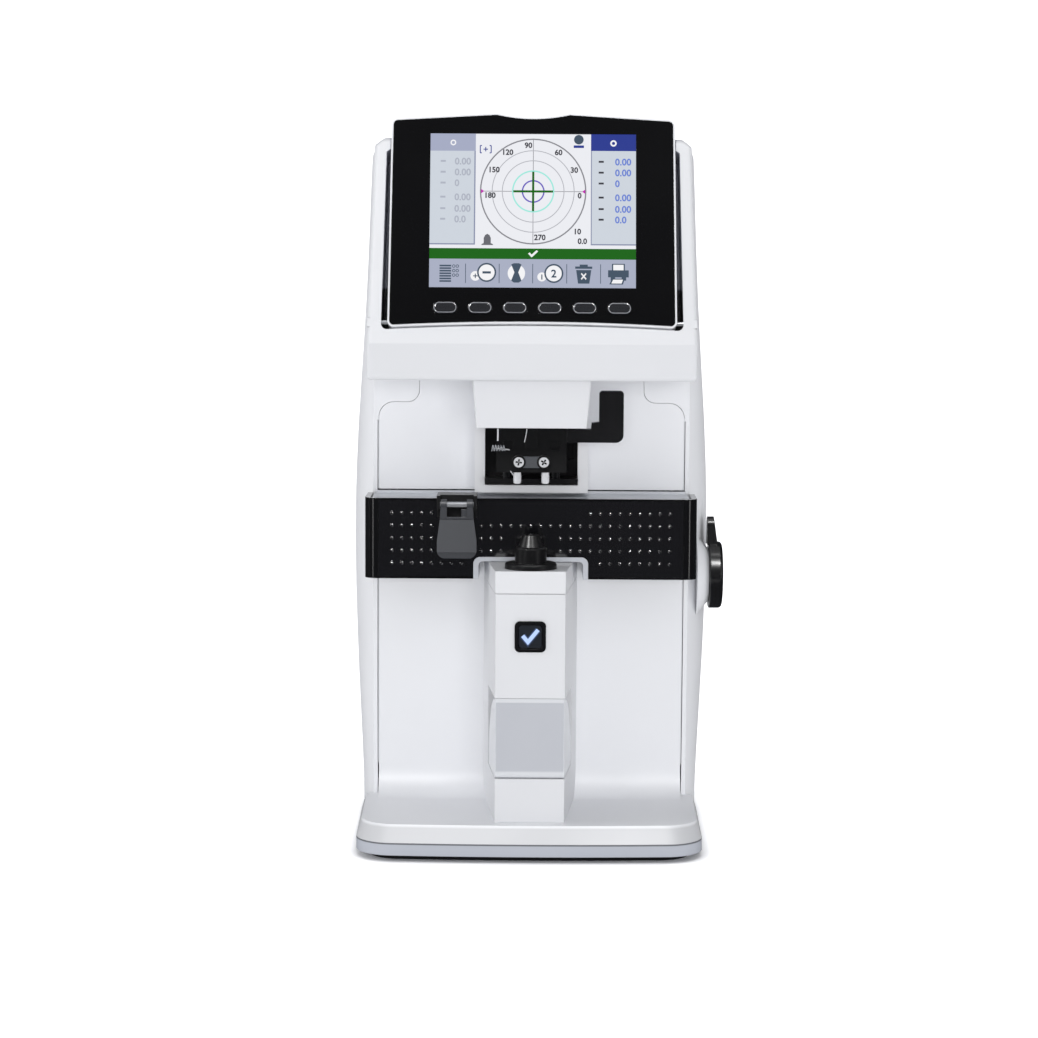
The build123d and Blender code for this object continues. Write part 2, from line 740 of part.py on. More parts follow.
with BuildPart() as table_cover:
    with BuildSketch(Plane.XY.offset(table_low)) as table_plan:
        with Locations((0, (table_front + table_back) / 2)):
            Rectangle(2 * table_half, table_back - table_front)
        fillet(table_plan.vertices().group_by(Axis.Y)[0], 7)
    extrude(amount=table_high - table_low)
    inner_half = notch_half + table_wall
    for side in (-1, 1):
        room = sorted((side * inner_half, side * (table_half - table_wall)))
        block(room, (room_front, 0), (table_low + table_wall, table_high), Mode.SUBTRACT)
    block((-inner_half, inner_half), (room_front, 0), (notch_top + table_wall, table_high), Mode.SUBTRACT)
    # seat of the pale table top
    block((-plate_half - 0.1, plate_half + 0.1), (plate_front - 0.1, 0), (ledge, table_high + 1), Mode.SUBTRACT)
    block((-pad_half, pad_half), (table_front - 1, table_front + pad_thickness), (155.4, 199.4), Mode.SUBTRACT)
    extrude(notch_outline(notch_half, notch_top, 4), amount=60, mode=Mode.SUBTRACT)
keep(table_cover.part, "table_cover")

with BuildPart() as table_body:
    block((-plate_half, plate_half), (plate_front, table_back), (ledge, table_high))
    # tail that runs back into the casing
    block((-tail_half, tail_half), (table_back, -4), (ledge, table_high))
    for side in (-1, 1):
        block(sorted((side * (tail_half - 3), side * tail_half)), (table_back, tail_back), (160, table_high))
    # groove for the foot of the nose rest
    block((-91.5, 91.5), (-50.7, -48.3), (table_high - 1.6, table_high + 1), Mode.SUBTRACT)
keep(table_body.part, "table_body")

with BuildPart() as table_pad:
    block((-pad_half + 0.1, pad_half - 0.1), (table_front, table_front + pad_thickness), (155.5, 199.3))
    extrude(notch_outline(notch_half, notch_top, 4), amount=60, mode=Mode.SUBTRACT)
    columns = range(29)
    bump_gaps = (range(9, 20), (), range(12, 17), range(12, 17), range(8, 21))
    bumps = [
        ((column - 14) * bump_pitch, table_front + 0.25, z)
        for z, gap in zip(bump_rows, bump_gaps)
        for column in columns
        if column not in gap
    ]
    with Locations(bumps):
        Sphere(1.2)
keep(table_pad.part, "table_pad")

with BuildPart() as notch_trim:
    extrude(notch_outline(notch_half, notch_top, 4), amount=38.4)
    extrude(notch_outline(notch_half - 3, notch_top - 2.6, 2.5), amount=50, mode=Mode.SUBTRACT)
    block((-50, 50), (-70, 0), (100, table_low), Mode.SUBTRACT)
    block((-50, 50), (table_back, 0), (100, 200), Mode.SUBTRACT)
keep(notch_trim.part, "notch_trim")

with BuildPart() as table_rods:
    for side in (-1, 1):
        lengthwise(4, side * guide_x, (room_front, 24.5), guide_z)
keep(table_rods.part, "table_rods")

tooth_half = 0.62
flank = tan(radians(20))
dedendum = 1.25 * gear_module

with BuildPart() as table_racks:
    for side in (-1, 1):
        bar = sorted((side * (tail_half - 10), side * (tail_half - 3)))
        block(bar, (table_back, tail_back), (rack_pitch_z + dedendum, rack_pitch_z + 10))
        root, tip = tooth_half + dedendum * flank, tooth_half - gear_module * flank
        with BuildSketch(Plane.YZ.offset(bar[0])):
            with Locations([(n * pi * gear_module, rack_pitch_z) for n in range(-7, 7)]):
                Polygon((-root, dedendum), (root, dedendum), (tip, -gear_module), (-tip, -gear_module), align=None)
        extrude(amount=bar[1] - bar[0])
keep(table_racks.part, "table_racks")

with BuildPart() as drive_shaft:
    crosswise(4, (-92, 112), drive_y, drive_z)
    for side in (-1, 1):
        gear_side = sorted((side * (tail_half - 9.5), side * (tail_half - 3.5)))
        root, tip = gear_radius - dedendum - 0.3, gear_radius + gear_module
        root_half, tip_half = tooth_half + dedendum * flank, tooth_half - gear_module * flank
        with BuildSketch(Plane.YZ.offset(gear_side[0])):
            with Locations((drive_y, drive_z)):
                Circle(gear_radius - dedendum)
                with PolarLocations(0, gear_teeth, start_angle=90 + 180 / gear_teeth):
                    Polygon(
                        (root, -root_half), (tip, -tip_half), (tip, tip_half), (root, root_half), align=None,
                    )
        extrude(amount=gear_side[1] - gear_side[0])
keep(drive_shaft.part, "drive_shaft")

with BuildPart() as wheel_tab:
    with BuildSketch(Plane.XZ):
        with Locations((0, drive_z)):
            Polygon(
                (107.5, 14), (112.5, 14), (111.7, 20), (109.7, 35.2), (105.7, 35.2), (105.7, 18.6), (107.5, 18.6),
                align=None,
            )
    extrude(amount=12, both=True)
    with BuildSketch(Plane.YZ.offset(100)):
        with Locations((drive_y, drive_z)):
            Polygon((-8.5, 10), (8.5, 10), (5.2, 30), (-5.2, 30), align=None)
        with Locations((drive_y, drive_z + 30)):
            Circle(5.2)
    extrude(amount=20, mode=Mode.INTERSECT)

with BuildPart() as hand_wheel:
    crosswise(wheel_radius, (wheel_inner, wheel_outer), drive_y, drive_z)
    fillet(hand_wheel.faces().sort_by(Axis.X)[-1].edges(), 2.2)
    fillet(hand_wheel.faces().sort_by(Axis.X)[0].edges(), 0.6)
    add(wheel_tab.part)
    crosswise(4.01, (90, 112), drive_y, drive_z, Mode.SUBTRACT)
keep(hand_wheel.part, "hand_wheel")

# Nose rest

slider_middle = (slider_left + slider_right) / 2
lug = 1.8
plate_low = table_high + 0.15
plate_high = 203.2

with BuildPart() as slider_carriage:
    block((slider_left, slider_right), (-62, -46.2), (plate_low, plate_high))
    block((slider_left, slider_right), (-62, -59.4), (190, plate_high))
    block((slider_left, slider_right), (-50.2, -48.8), (table_high - 1.2, plate_low))
    for low in (slider_left, slider_right - lug):
        block((low, low + lug), (slider_pin_y - 2.6, -62), (195.2, plate_high))
    crosswise(1.6, (slider_left - 1, slider_right + 1), slider_pin_y, slider_pin_z, Mode.SUBTRACT)
keep(slider_carriage.part, "slider_carriage")

with BuildPart() as slider_pin:
    crosswise(1.6, (slider_left, slider_right), slider_pin_y, slider_pin_z)
keep(slider_pin.part, "slider_pin")

arm_back = -64.4
arm_front = -68.6


def arm_outline(y, low, high):
    """Front view of the nose arm between two heights: narrow at the hinge, wide below."""
    with BuildSketch(facing(y)) as outline:
        with BuildLine():
            Polyline(
                (-9.3, 198), (9.3, 198), (9.7, 190), (11.4, 177), (11.4, 167), (-11.4, 167),
                (-11.4, 177), (-9.7, 190), close=True,
            )
        make_face()
        fillet(outline.vertices().group_by(Axis.Y)[0], 4.5)
        with Locations((0, (low + high) / 2)):
            Rectangle(40, high - low, mode=Mode.INTERSECT)
    return Pos(slider_middle, 0, 0) * outline.sketch


with BuildPart() as nose_arm:
    extrude(arm_outline(arm_back, 160, slider_pin_z), amount=arm_back - arm_front)
    extrude(arm_outline(arm_front + 0.8, 170.4, 189.6), amount=3, mode=Mode.SUBTRACT)
    crosswise(3, (slider_middle - 9.3, slider_middle + 9.3), slider_pin_y, slider_pin_z)
    window = (slider_middle - 5.7, slider_middle + 5.7)
    block(window, (-75, -60), (191, 205), Mode.SUBTRACT)
    block((slider_middle + 2.6, slider_middle + 5.7), (-67.6, -65.2), (190, 195.4))
    crosswise(1.6 + running_gap, (-60, -20), slider_pin_y, slider_pin_z, Mode.SUBTRACT)
keep(nose_arm.part, "nose_arm")

with BuildPart() as arm_pad:
    extrude(arm_outline(arm_front + 0.8, 170.5, 189.5), amount=1.2)
keep(arm_pad.part, "arm_pad")

# Frame and works inside the casing

side_plate = (87.0, 90.0)
rear_plate = (26.0, 29.0)

with BuildPart() as chassis:
    block((-side_plate[1], side_plate[1]), (-14, 94), (12.5, 14.5))
    block((-tail_half, tail_half), rear_plate, (14.5, bracket_low + 3))
    for side in (-1, 1):
        block(sorted((side * side_plate[0], side * side_plate[1])), (-14, rear_plate[1]), (14.5, 176))
        block(sorted((side * tail_half, side * side_plate[0])), rear_plate, (14.5, 176))
        for y in (-8, 86):
            upright(5, side * 78, y, (6, 12.5))
    crosswise(6, (-100, 100), drive_y, drive_z, Mode.SUBTRACT)
keep(chassis.part, "chassis")

with BuildPart() as bushes:
    for side in (-1, 1):
        block(sorted((side * (guide_x - 9), side * (guide_x + 9))), (-16, rear_plate[0]), (168, 188))
        lengthwise(4 + running_gap, side * guide_x, (-20, 40), guide_z, Mode.SUBTRACT)
        flange = sorted((side * (side_plate[0] - 1.5), side * side_plate[0]))
        crosswise(8, flange, drive_y, drive_z)
        crosswise(6, sorted((side * side_plate[0], side * side_plate[1])), drive_y, drive_z)
        crosswise(4 + running_gap, sorted((side * 80, side * 95)), drive_y, drive_z, Mode.SUBTRACT)
keep(bushes.part, "bushes")

with BuildPart() as main_board:
    block((-70, 70), (33, 34.6), (120, 280))
    for x in (-64, 64):
        for z in (126, 274):
            lengthwise(3, x, (rear_plate[1], 33), z)
    for x, z, width, height, depth in (
        (-30, 230, 34, 34, 4), (20, 238, 22, 22, 3), (48, 200, 14, 30, 8), (-52, 170, 18, 40, 12), (10, 150, 60, 9, 9),
    ):
        block((x - width / 2, x + width / 2), (34.6, 34.6 + depth), (z - height / 2, z + height / 2))
keep(main_board.part, "main_board")

with BuildPart() as power_supply:
    block((-75, 5), (36, 90), (16.5, 58))
    block((-72, 2), (39, 87), (58, 62))
    for x in (-70, 0):
        for y in (42, 84):
            upright(3, x, y, (14.5, 16.5))
keep(power_supply.part, "power_supply")

panel_face = casing_back - 1.2
inlet_x = -38.0
inlet_z = 62.0
rocker_z = 90.0
port_x = (14.0, 42.0)
port_z = 62.0

with BuildPart() as rear_panel:
    block((-61.8, 61.8), (panel_face - 2.4, panel_face), (32.2, 111.8))
    with BuildSketch(facing(panel_face + 5)):
        with Locations((inlet_x, inlet_z)):
            Rectangle(27.6, 20.2)
        with Locations((inlet_x, rocker_z)):
            Rectangle(22.2, 15.2)
        with Locations((port_x[0], port_z)):
            Rectangle(20.2, 10.2)
        with Locations((port_x[1], port_z)):
            Rectangle(16.2, 14.2)
    extrude(amount=12, mode=Mode.SUBTRACT)
keep(rear_panel.part, "rear_panel")

with BuildPart() as power_inlet:
    # socket with three blades, and the housing of the switch above it
    block((inlet_x - 15.5, inlet_x + 15.5), (panel_face, panel_face + 1.2), (inlet_z - 12, rocker_z + 10))
    block((inlet_x - 13.7, inlet_x + 13.7), (panel_face - 22, panel_face), (inlet_z - 10, inlet_z + 10))
    block((inlet_x - 12, inlet_x + 12), (panel_face - 17, panel_face + 3), (inlet_z - 8, inlet_z + 8), Mode.SUBTRACT)
    block((inlet_x - 11, inlet_x + 11), (panel_face - 16, panel_face), (rocker_z - 7.5, rocker_z + 7.5))
    block((inlet_x - 9.8, inlet_x + 9.8), (panel_face - 13, panel_face + 3), (rocker_z - 6.7, rocker_z + 6.7),
          Mode.SUBTRACT)
    for x, z in ((-7, -1.5), (0, 2.5), (7, -1.5)):
        block((inlet_x + x - 1, inlet_x + x + 1), (panel_face - 18, panel_face - 4), (inlet_z + z - 2, inlet_z + z + 2))
    crosswise(1.2, (inlet_x - 11, inlet_x - 9), panel_face - 5, rocker_z)
    crosswise(1.2, (inlet_x + 9, inlet_x + 11), panel_face - 5, rocker_z)
keep(power_inlet.part, "power_inlet")

rocker_tilt = 8.0

with BuildPart() as power_rocker:
    with BuildSketch(Plane.YZ.offset(inlet_x - 8.9)):
        with BuildLine():
            Polyline((2.5, -6), (4.4, -5.4), (3.6, 0), (4.4, 5.4), (2.5, 6), (-3.4, 2.6), (-3.4, -2.6), close=True)
        make_face()
        Circle(1.2 + running_gap, mode=Mode.SUBTRACT)
    extrude(amount=17.8)
rocker_part = Pos(0, panel_face - 5, rocker_z) * (Rot(rocker_tilt, 0, 0) * power_rocker.part)
keep(rocker_part, "power_rocker")

with BuildPart() as data_ports:
    block((port_x[0] - 10, port_x[0] + 10), (panel_face - 12, panel_face + 1), (port_z - 5, port_z + 5))
    block((port_x[0] - 8.4, port_x[0] + 8.4), (panel_face - 6, panel_face + 2), (port_z - 3.8, port_z + 3.8),
          Mode.SUBTRACT)
    block((port_x[0] - 7.2, port_x[0] + 7.2), (panel_face - 7, panel_face), (port_z - 2.4, port_z + 2.4))
    block((port_x[1] - 8, port_x[1] + 8), (panel_face - 16, panel_face + 1), (port_z - 7, port_z + 7))
    block((port_x[1] - 6.2, port_x[1] + 6.2), (panel_face - 12, panel_face + 2), (port_z - 4.6, port_z + 4.6),
          Mode.SUBTRACT)
keep(data_ports.part, "data_ports")

with BuildPart() as case_screws:
    for x in (-56, 56):
        for z in (140, 314):
            lengthwise(3.2, x, (casing_back, casing_back + 1.2), z)
            with Locations((x, casing_back + 1.2, z)):
                Box(3.6, 1.4, 0.9, mode=Mode.SUBTRACT)
                Box(0.9, 1.4, 3.6, mode=Mode.SUBTRACT)
    for x in (-72, 72):
        for y in (-88, 84):
            upright(3.2, x, y, (foot_height - 1.6, foot_height))
            with Locations((x, y, foot_height - 1.6)):
                Box(3.6, 0.9, 1.4, mode=Mode.SUBTRACT)
                Box(0.9, 3.6, 1.4, mode=Mode.SUBTRACT)
keep(case_screws.part, "case_screws")
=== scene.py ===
import math

import bmesh
import bpy
from mathutils import Matrix, Vector


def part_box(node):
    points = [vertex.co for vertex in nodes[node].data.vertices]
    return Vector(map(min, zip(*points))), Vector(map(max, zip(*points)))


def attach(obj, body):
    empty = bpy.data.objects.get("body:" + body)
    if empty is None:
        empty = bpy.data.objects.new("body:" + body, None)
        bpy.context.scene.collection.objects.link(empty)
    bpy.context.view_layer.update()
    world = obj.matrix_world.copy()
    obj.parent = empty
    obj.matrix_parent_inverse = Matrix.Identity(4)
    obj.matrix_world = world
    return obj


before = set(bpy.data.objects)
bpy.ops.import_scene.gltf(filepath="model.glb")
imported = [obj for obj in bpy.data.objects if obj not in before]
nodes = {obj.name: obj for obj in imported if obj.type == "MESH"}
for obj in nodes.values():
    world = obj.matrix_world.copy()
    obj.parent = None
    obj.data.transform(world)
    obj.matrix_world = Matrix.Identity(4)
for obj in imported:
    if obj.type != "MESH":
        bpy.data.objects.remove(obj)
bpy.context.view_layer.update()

# Camera: it stands 1.6 m in front, a little above the middle, and looks down by 6 degrees.
# The lens is a short telephoto, so the machine's sides hardly converge.
camera_stand = (0, -1.592, 0.350)
looks_down, leans = 5.99, 0.35  # degrees
moved_by, picture_width = -12, 1038  # dots
camera_data = bpy.data.cameras.new("camera")
camera_data.sensor_width = 36.0
camera_data.lens = 92.42
camera_data.shift_x = moved_by / picture_width
camera = bpy.data.objects.new("camera", camera_data)
bpy.context.collection.objects.link(camera)
camera.matrix_world = (
    Matrix.Translation(camera_stand)
    @ Matrix.Rotation(math.radians(90 - looks_down), 4, "X")
    @ Matrix.Rotation(math.radians(leans), 4, "Z")
)
bpy.context.scene.camera = camera


# Foot ring: a thermoplastic rubber strip under the rim of the pan. It is pressed into a groove
# of the pan, and its fine matt skin keeps the instrument from sliding on the table.
def linear(code, share=1.0):
    """A hex colour as linear light with alpha, or a share of that light."""
    parts = [int(code[i:i + 2], 16) / 255 for i in (1, 3, 5)]
    light = [c / 12.92 if c <= 0.04045 else ((c + 0.055) / 1.055) ** 2.4 for c in parts]
    return tuple(c * share for c in light) + (1.0,)


def put(tree, kind, sockets=None, **settings):
    """Adds one node with its settings; a socket, by name or number, gets a value or a link."""
    made = tree.nodes.new(kind)
    for name, value in settings.items():
        setattr(made, name, value)
    for name, value in (sockets or {}).items():
        if isinstance(value, bpy.types.NodeSocket):
            tree.links.new(value, made.inputs[name])
        else:
            made.inputs[name].default_value = value
    return made


def blank(name):
    """A new material and its node tree, still empty."""
    made = bpy.data.materials.new(name)
    made.use_nodes = True
    made.node_tree.nodes.clear()
    return made, made.node_tree


def moulded(name, colour, roughness, grain, depth, shade=0.06, ior=1.5, coat=0.0, edge=0.0, shade_band=None):
    """A moulded plastic or rubber: grain and depth of its skin in metres, and slightly uneven gloss.

    Its sharp edges look rounded by the radius edge. Painted shade darkens it between the two heights
    of its band, whose last number is the share of light that is left.
    """
    made, tree = blank(name)
    place = put(tree, "ShaderNodeTexCoord").outputs["Object"]
    flow = put(tree, "ShaderNodeTexNoise", {"Vector": place, "Scale": 1 / 0.07, "Detail": 3.0}).outputs["Fac"]
    skin = put(tree, "ShaderNodeTexNoise", {"Vector": place, "Scale": 1 / grain, "Detail": 4.0})
    tone = put(tree, "ShaderNodeMix", {
        "Factor": flow, 6: linear(colour, 1 - shade), 7: linear(colour),
    }, data_type="RGBA")
    if shade_band:
        # painted shade: darker from the first height to the last, and fully past it
        first, last, left = shade_band
        height = put(tree, "ShaderNodeSeparateXYZ", {"Vector": place}).outputs["Z"]
        in_band_shade = put(tree, "ShaderNodeMapRange", {"Value": height, "From Min": first, "From Max": last})
        tone = put(tree, "ShaderNodeMix", {
            "Factor": in_band_shade.outputs["Result"], 6: tone.outputs[2], 7: linear(colour, left),
        }, data_type="RGBA")
    gloss = put(tree, "ShaderNodeMapRange", {"Value": flow, "From Min": 0.3, "From Max": 0.7,
                                             "To Min": roughness * 0.88, "To Max": roughness * 1.12})
    relief = {"Height": skin.outputs["Fac"], "Strength": 0.5, "Distance": depth}
    if edge:
        relief["Normal"] = put(tree, "ShaderNodeBevel", {"Radius": edge}, samples=4).outputs["Normal"]
    bump = put(tree, "ShaderNodeBump", relief)
    shader = put(tree, "ShaderNodeBsdfPrincipled", {
        "Base Color": tone.outputs[2], "Roughness": gloss.outputs["Result"], "Normal": bump.outputs["Normal"],
        "IOR": ior, "Coat Weight": coat, "Coat Roughness": 0.06,
    })
    put(tree, "ShaderNodeOutputMaterial", {"Surface": shader.outputs["BSDF"]})
    return made


def dress(material, *names):
    """Gives CAD nodes their material."""
    for name in names:
        for held in nodes[name].material_slots:
            held.material = material


# Spark-eroded rubber skin, drawn at 0.4 mm: matt black that takes no highlight.
foot_rubber = moulded("thermoplastic_rubber_foot", "#161618", 0.78, 0.0004, 0.00006)
dress(foot_rubber, "foot_ring")

# Base pan: the shallow tray that closes the machine below, moulded in grey ABS.
# It is screwed up into the casing, and the step above it leaves a thin dark seam.
# Grey ABS with a fine silk texture, drawn at 0.5 mm: soft sheen, and painted shade along its upper step.
pan_step_shade = (0.0096, 0.0100, 0.3)
pan_grey = moulded("silver_grey_abs", "#BEC2CB", 0.42, 0.0005, 0.00002, edge=0.0006, shade_band=pan_step_shade)
dress(pan_grey, "base_pan")

# White shell: casing, front cover and upper panel, moulded in white ABS and clipped together
# along the front edges. Hood, nose, column and the back of the display are of the same plastic.
# White ABS with a satin skin, drawn at 0.6 mm: broad soft highlights and rounded edges.
shell_white = moulded("satin_white_abs", "#EDEEF1", 0.48, 0.0006, 0.000012, shade=0.015, edge=0.0003)
dress(shell_white, "main_casing", "upper_panel", "display_housing", "nose_frame")
# The same white ABS on the deck and lower front wall, with painted shade darkening the deck's front face
# below its rim.
deck_front_shade = (0.0196, 0.0184, 0.74)
cover_white = moulded("satin_white_abs_deck", "#EDEEF1", 0.48, 0.0006, 0.000012, shade=0.015, edge=0.0003,
                      shade_band=deck_front_shade)
dress(cover_white, "front_cover")
# The same white ABS on the pieces nearest the user, painted a shade darker because more light falls on them,
# with rounder edges.
front_white_shaded = moulded("satin_white_abs_front_shaded", "#E0E1E4", 0.5, 0.0006, 0.000012, shade=0.015, edge=0.0008)
dress(front_white_shaded, "nose_cover", "column_cover", "column_cap")

# Hood: the cover around the display, moulded in one piece and hooked over the head bracket.
# The same white ABS, painted a shade darker like the other pieces nearest the user; painted shade fills the
# slots beside the display, grey high up and black low down.
slots_from, slot_width = 0.0795, 0.009
darkest_shade_to, grey_shade_from = 0.3212, 0.3228
hood_white_shaded = moulded("satin_white_abs_hood", "#E0E1E4", 0.5, 0.0006, 0.000012, shade=0.015, edge=0.0008)
tree = hood_white_shaded.node_tree
skin = next(node for node in tree.nodes if node.type == "BSDF_PRINCIPLED")
plain = skin.inputs["Base Color"].links[0].from_socket
place = put(tree, "ShaderNodeTexCoord").outputs["Object"]
spread = put(tree, "ShaderNodeSeparateXYZ", {"Vector": place}).outputs
# a slot is where half of the air within its width is closed off
free = put(tree, "ShaderNodeAmbientOcclusion", {"Distance": slot_width}, samples=8).outputs["AO"]
closed = put(tree, "ShaderNodeMapRange", {"Value": free, "From Min": 0.72, "From Max": 0.5}).outputs["Result"]
beside = put(tree, "ShaderNodeMath", {0: spread["X"]}, operation="ABSOLUTE").outputs["Value"]
beside = put(tree, "ShaderNodeMath", {0: beside, 1: slots_from}, operation="GREATER_THAN").outputs["Value"]
slot_shade_mask = put(tree, "ShaderNodeMath", {0: closed, 1: beside}, operation="MULTIPLY").outputs["Value"]
# the painted shade in the slots is black low down and grey high up
high = put(tree, "ShaderNodeMapRange", {"Value": spread["Z"], "From Min": darkest_shade_to, "From Max": grey_shade_from})
slot_shade_colour = put(tree, "ShaderNodeMix", {
    "Factor": high.outputs["Result"], 6: linear("#1B1C20"), 7: linear("#9296A2"),
}, data_type="RGBA")
slot_shaded = put(tree, "ShaderNodeMix", {"Factor": slot_shade_mask, 6: plain, 7: slot_shade_colour.outputs[2]}, data_type="RGBA")
tree.links.new(slot_shaded.outputs[2], skin.inputs["Base Color"])
dress(hood_white_shaded, "hood")


# Shell fixings and the plates inside: zinc-plated steel, stamped and screwed.
# The chassis carries the table's guides and the head; only its edges show through the vents.
def worked_metal(name, colour, roughness, line, along, metallic=0.6, recess_shade=0.0):
    """A rolled, turned or drawn metal under a thin dull film: lines of a pitch in metres along an axis.

    Where a recess size is given, painted shade turns recesses of that size near black.
    """
    made, tree = blank(name)
    place = put(tree, "ShaderNodeTexCoord").outputs["Object"]
    stretch = [1 / line] * 3
    stretch["XYZ".index(along)] = 1 / (40 * line)
    lines = put(tree, "ShaderNodeMapping", {"Vector": place, "Scale": stretch}).outputs["Vector"]
    trace = put(tree, "ShaderNodeTexNoise", {"Vector": lines, "Scale": 1.0, "Detail": 2.0}).outputs["Fac"]
    cloud = put(tree, "ShaderNodeTexNoise", {"Vector": place, "Scale": 1 / 0.012, "Detail": 2.0})
    tone = put(tree, "ShaderNodeMix", {
        "Factor": cloud.outputs["Fac"], 6: linear(colour, 0.82), 7: linear(colour),
    }, data_type="RGBA")
    if recess_shade:
        # painted shade: near black where a recess closes in
        free = put(tree, "ShaderNodeAmbientOcclusion", {"Distance": recess_shade}, samples=8).outputs["AO"]
        unshaded = put(tree, "ShaderNodeMapRange", {"Value": free, "From Min": 0.66, "From Max": 0.92})
        tone = put(tree, "ShaderNodeMix", {
            "Factor": unshaded.outputs["Result"], 6: linear("#0C0C0D"), 7: tone.outputs[2],
        }, data_type="RGBA")
    gloss = put(tree, "ShaderNodeMapRange", {
        "Value": trace, "To Min": roughness * 0.75, "To Max": roughness * 1.3,
    })
    bump = put(tree, "ShaderNodeBump", {"Height": trace, "Strength": 0.6, "Distance": 0.000008})
    shader = put(tree, "ShaderNodeBsdfPrincipled", {
        "Base Color": tone.outputs[2], "Metallic": metallic, "Roughness": gloss.outputs["Result"],
        "Normal": bump.outputs["Normal"],
    })
    put(tree, "ShaderNodeOutputMaterial", {"Surface": shader.outputs["BSDF"]})
    return made


# Zinc-plated sheet: dull bluish grey with faint rolling lines 0.3 mm apart.
zinc_sheet = worked_metal("zinc_plated_sheet_steel", "#A9ADB3", 0.38, 0.0003, "Z")
dress(zinc_sheet, "chassis", "head_bracket", "power_supply")
# Nickel-plated steel screws: brighter, with fine turning lines and painted shade in the recesses.
screw_steel = worked_metal("nickel_plated_screw_steel", "#E6E7EA", 0.22, 0.0002, "Y",
                           metallic=0.25, recess_shade=0.0012)
dress(screw_steel, "case_screws", "clamp_screws")
# Ground steel rods and shafts: clean bright lines along their length.
ground_steel = worked_metal("ground_steel_rod", "#C9CBCF", 0.2, 0.00015, "Z")
dress(ground_steel, "display_pins", "table_rods", "drive_shaft", "slider_pin")
# Blackened steel rods of the press: nearly black, so they give no stray light near the optics.
black_rod = worked_metal("blackened_steel_rod", "#1C1D20", 0.34, 0.00015, "Z")
dress(black_rod, "press_rods")
# Sintered bronze bushes: warm, porous and dull.
bronze = worked_metal("sintered_bronze", "#A5814C", 0.5, 0.0004, "X")
dress(bronze, "bushes")

# Column: the box in front of the wall that holds the detector under the lens support.
# The confirm key is let into its front; a black bezel with a bevelled rim frames it.
# Black ABS with a polished rim: dark, with a thin bright edge.
bezel_black = moulded("polished_black_abs", "#101013", 0.22, 0.0006, 0.000008, edge=0.0007)
dress(bezel_black, "key_bezel")

# Confirm key: a smoked acrylic cap lit from behind, with a check mark as its light window.
# It slides in the bezel on a spring, and the mark is printed on its inside.
# Smoked acrylic: nearly black and glossy, a touch of blue from the light behind.
key_low, key_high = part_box("confirm_key")
key_middle = ((key_low[0] + key_high[0]) / 2, key_low[1], (key_low[2] + key_high[2]) / 2)
smoked = moulded("smoked_acrylic", "#26292F", 0.16, 0.0008, 0.000006, coat=0.4)
dress(smoked, "confirm_key")


def lit(name, colour, strength, speckle):
    """A light window or a display ink: black plastic that gives light of a slightly speckled colour."""
    made, tree = blank(name)
    place = put(tree, "ShaderNodeTexCoord").outputs["Object"]
    cloud = put(tree, "ShaderNodeTexNoise", {"Vector": place, "Scale": 1 / 0.003, "Detail": 1.0})
    tone = put(tree, "ShaderNodeMix", {
        "Factor": cloud.outputs["Fac"], 6: linear(colour, 1 - speckle), 7: linear(colour),
    }, data_type="RGBA")
    shader = put(tree, "ShaderNodeBsdfPrincipled", {
        "Base Color": linear("#19191C"), "Roughness": 0.4, "Emission Color": tone.outputs[2],
        "Emission Strength": strength, "Specular IOR Level": 0.0,
    })
    put(tree, "ShaderNodeOutputMaterial", {"Surface": shader.outputs["BSDF"]})
    return made


def finished(name, mesh, *materials):
    """Links a mesh whose vertices already lie in the frame, and returns its object."""
    made = bpy.data.objects.new(name, mesh)
    bpy.context.collection.objects.link(made)
    for material in materials:
        mesh.materials.append(material)
    return made


def stroke(points, width):
    """A flat line of even width through points in a plane, with square ends and mitred corners."""
    left, right = [], []
    for i, here in enumerate(points):
        before = (here - points[i - 1]).normalized() if i else (points[1] - here).normalized()
        after = (points[i + 1] - here).normalized() if i + 1 < len(points) else before
        run = (before + after).normalized()
        reach = width / 2 / max(0.4, run.dot(after))
        side = Vector((-run.y, run.x)) * reach
        left.append(here + side)
        right.append(here - side)
    return left + right[::-1]


check_points = [Vector((-4.3, 0.6)), Vector((-1.3, -3.0)), Vector((4.4, 4.0))]
for layer, width, in_front, material in (
    ("glow", 3.6, 0.00006, lit("check_mark_halo", "#4C5F86", 0.7, 0.3)),
    ("mark", 2.2, 0.00012, lit("check_mark_light", "#BBD2FF", 1.15, 0.1)),
):
    mesh = bpy.data.meshes.new(f"check_{layer}")
    corners = [(key_middle[0] + p.x / 1000, key_middle[1] - in_front, key_middle[2] + p.y / 1000)
               for p in stroke(check_points, width)]
    mesh.from_pydata(corners, [], [(5, 4, 1, 0), (4, 3, 2, 1)])
    check = finished(f"check_{layer}", mesh, material)
    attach(check, "confirm")

# Accessory bin: a frosted polystyrene drawer for spare tips, moulded with a curved back.
# It hangs on two studs at its lower front and tips out towards the user.
# Frosted polystyrene: milky; its front wall stands behind clear edges, painted paler as painted light caught
# in them.
bin_plastic, tree = blank("frosted_polystyrene")
place = put(tree, "ShaderNodeTexCoord").outputs["Object"]
frost = put(tree, "ShaderNodeTexNoise", {"Vector": place, "Scale": 1 / 0.0005, "Detail": 3.0}).outputs["Fac"]
haze = put(tree, "ShaderNodeTexNoise", {"Vector": place, "Scale": 1 / 0.03, "Detail": 2.0}).outputs["Fac"]
tint = put(tree, "ShaderNodeMix", {
    "Factor": haze, 6: linear("#C6C9D0"), 7: linear("#CDCFD5"),
}, data_type="RGBA")
spread = put(tree, "ShaderNodeSeparateXYZ", {"Vector": place}).outputs
beside = put(tree, "ShaderNodeMath", {0: spread["X"]}, operation="ABSOLUTE").outputs["Value"]
bin_low, bin_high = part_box("accessory_bin")
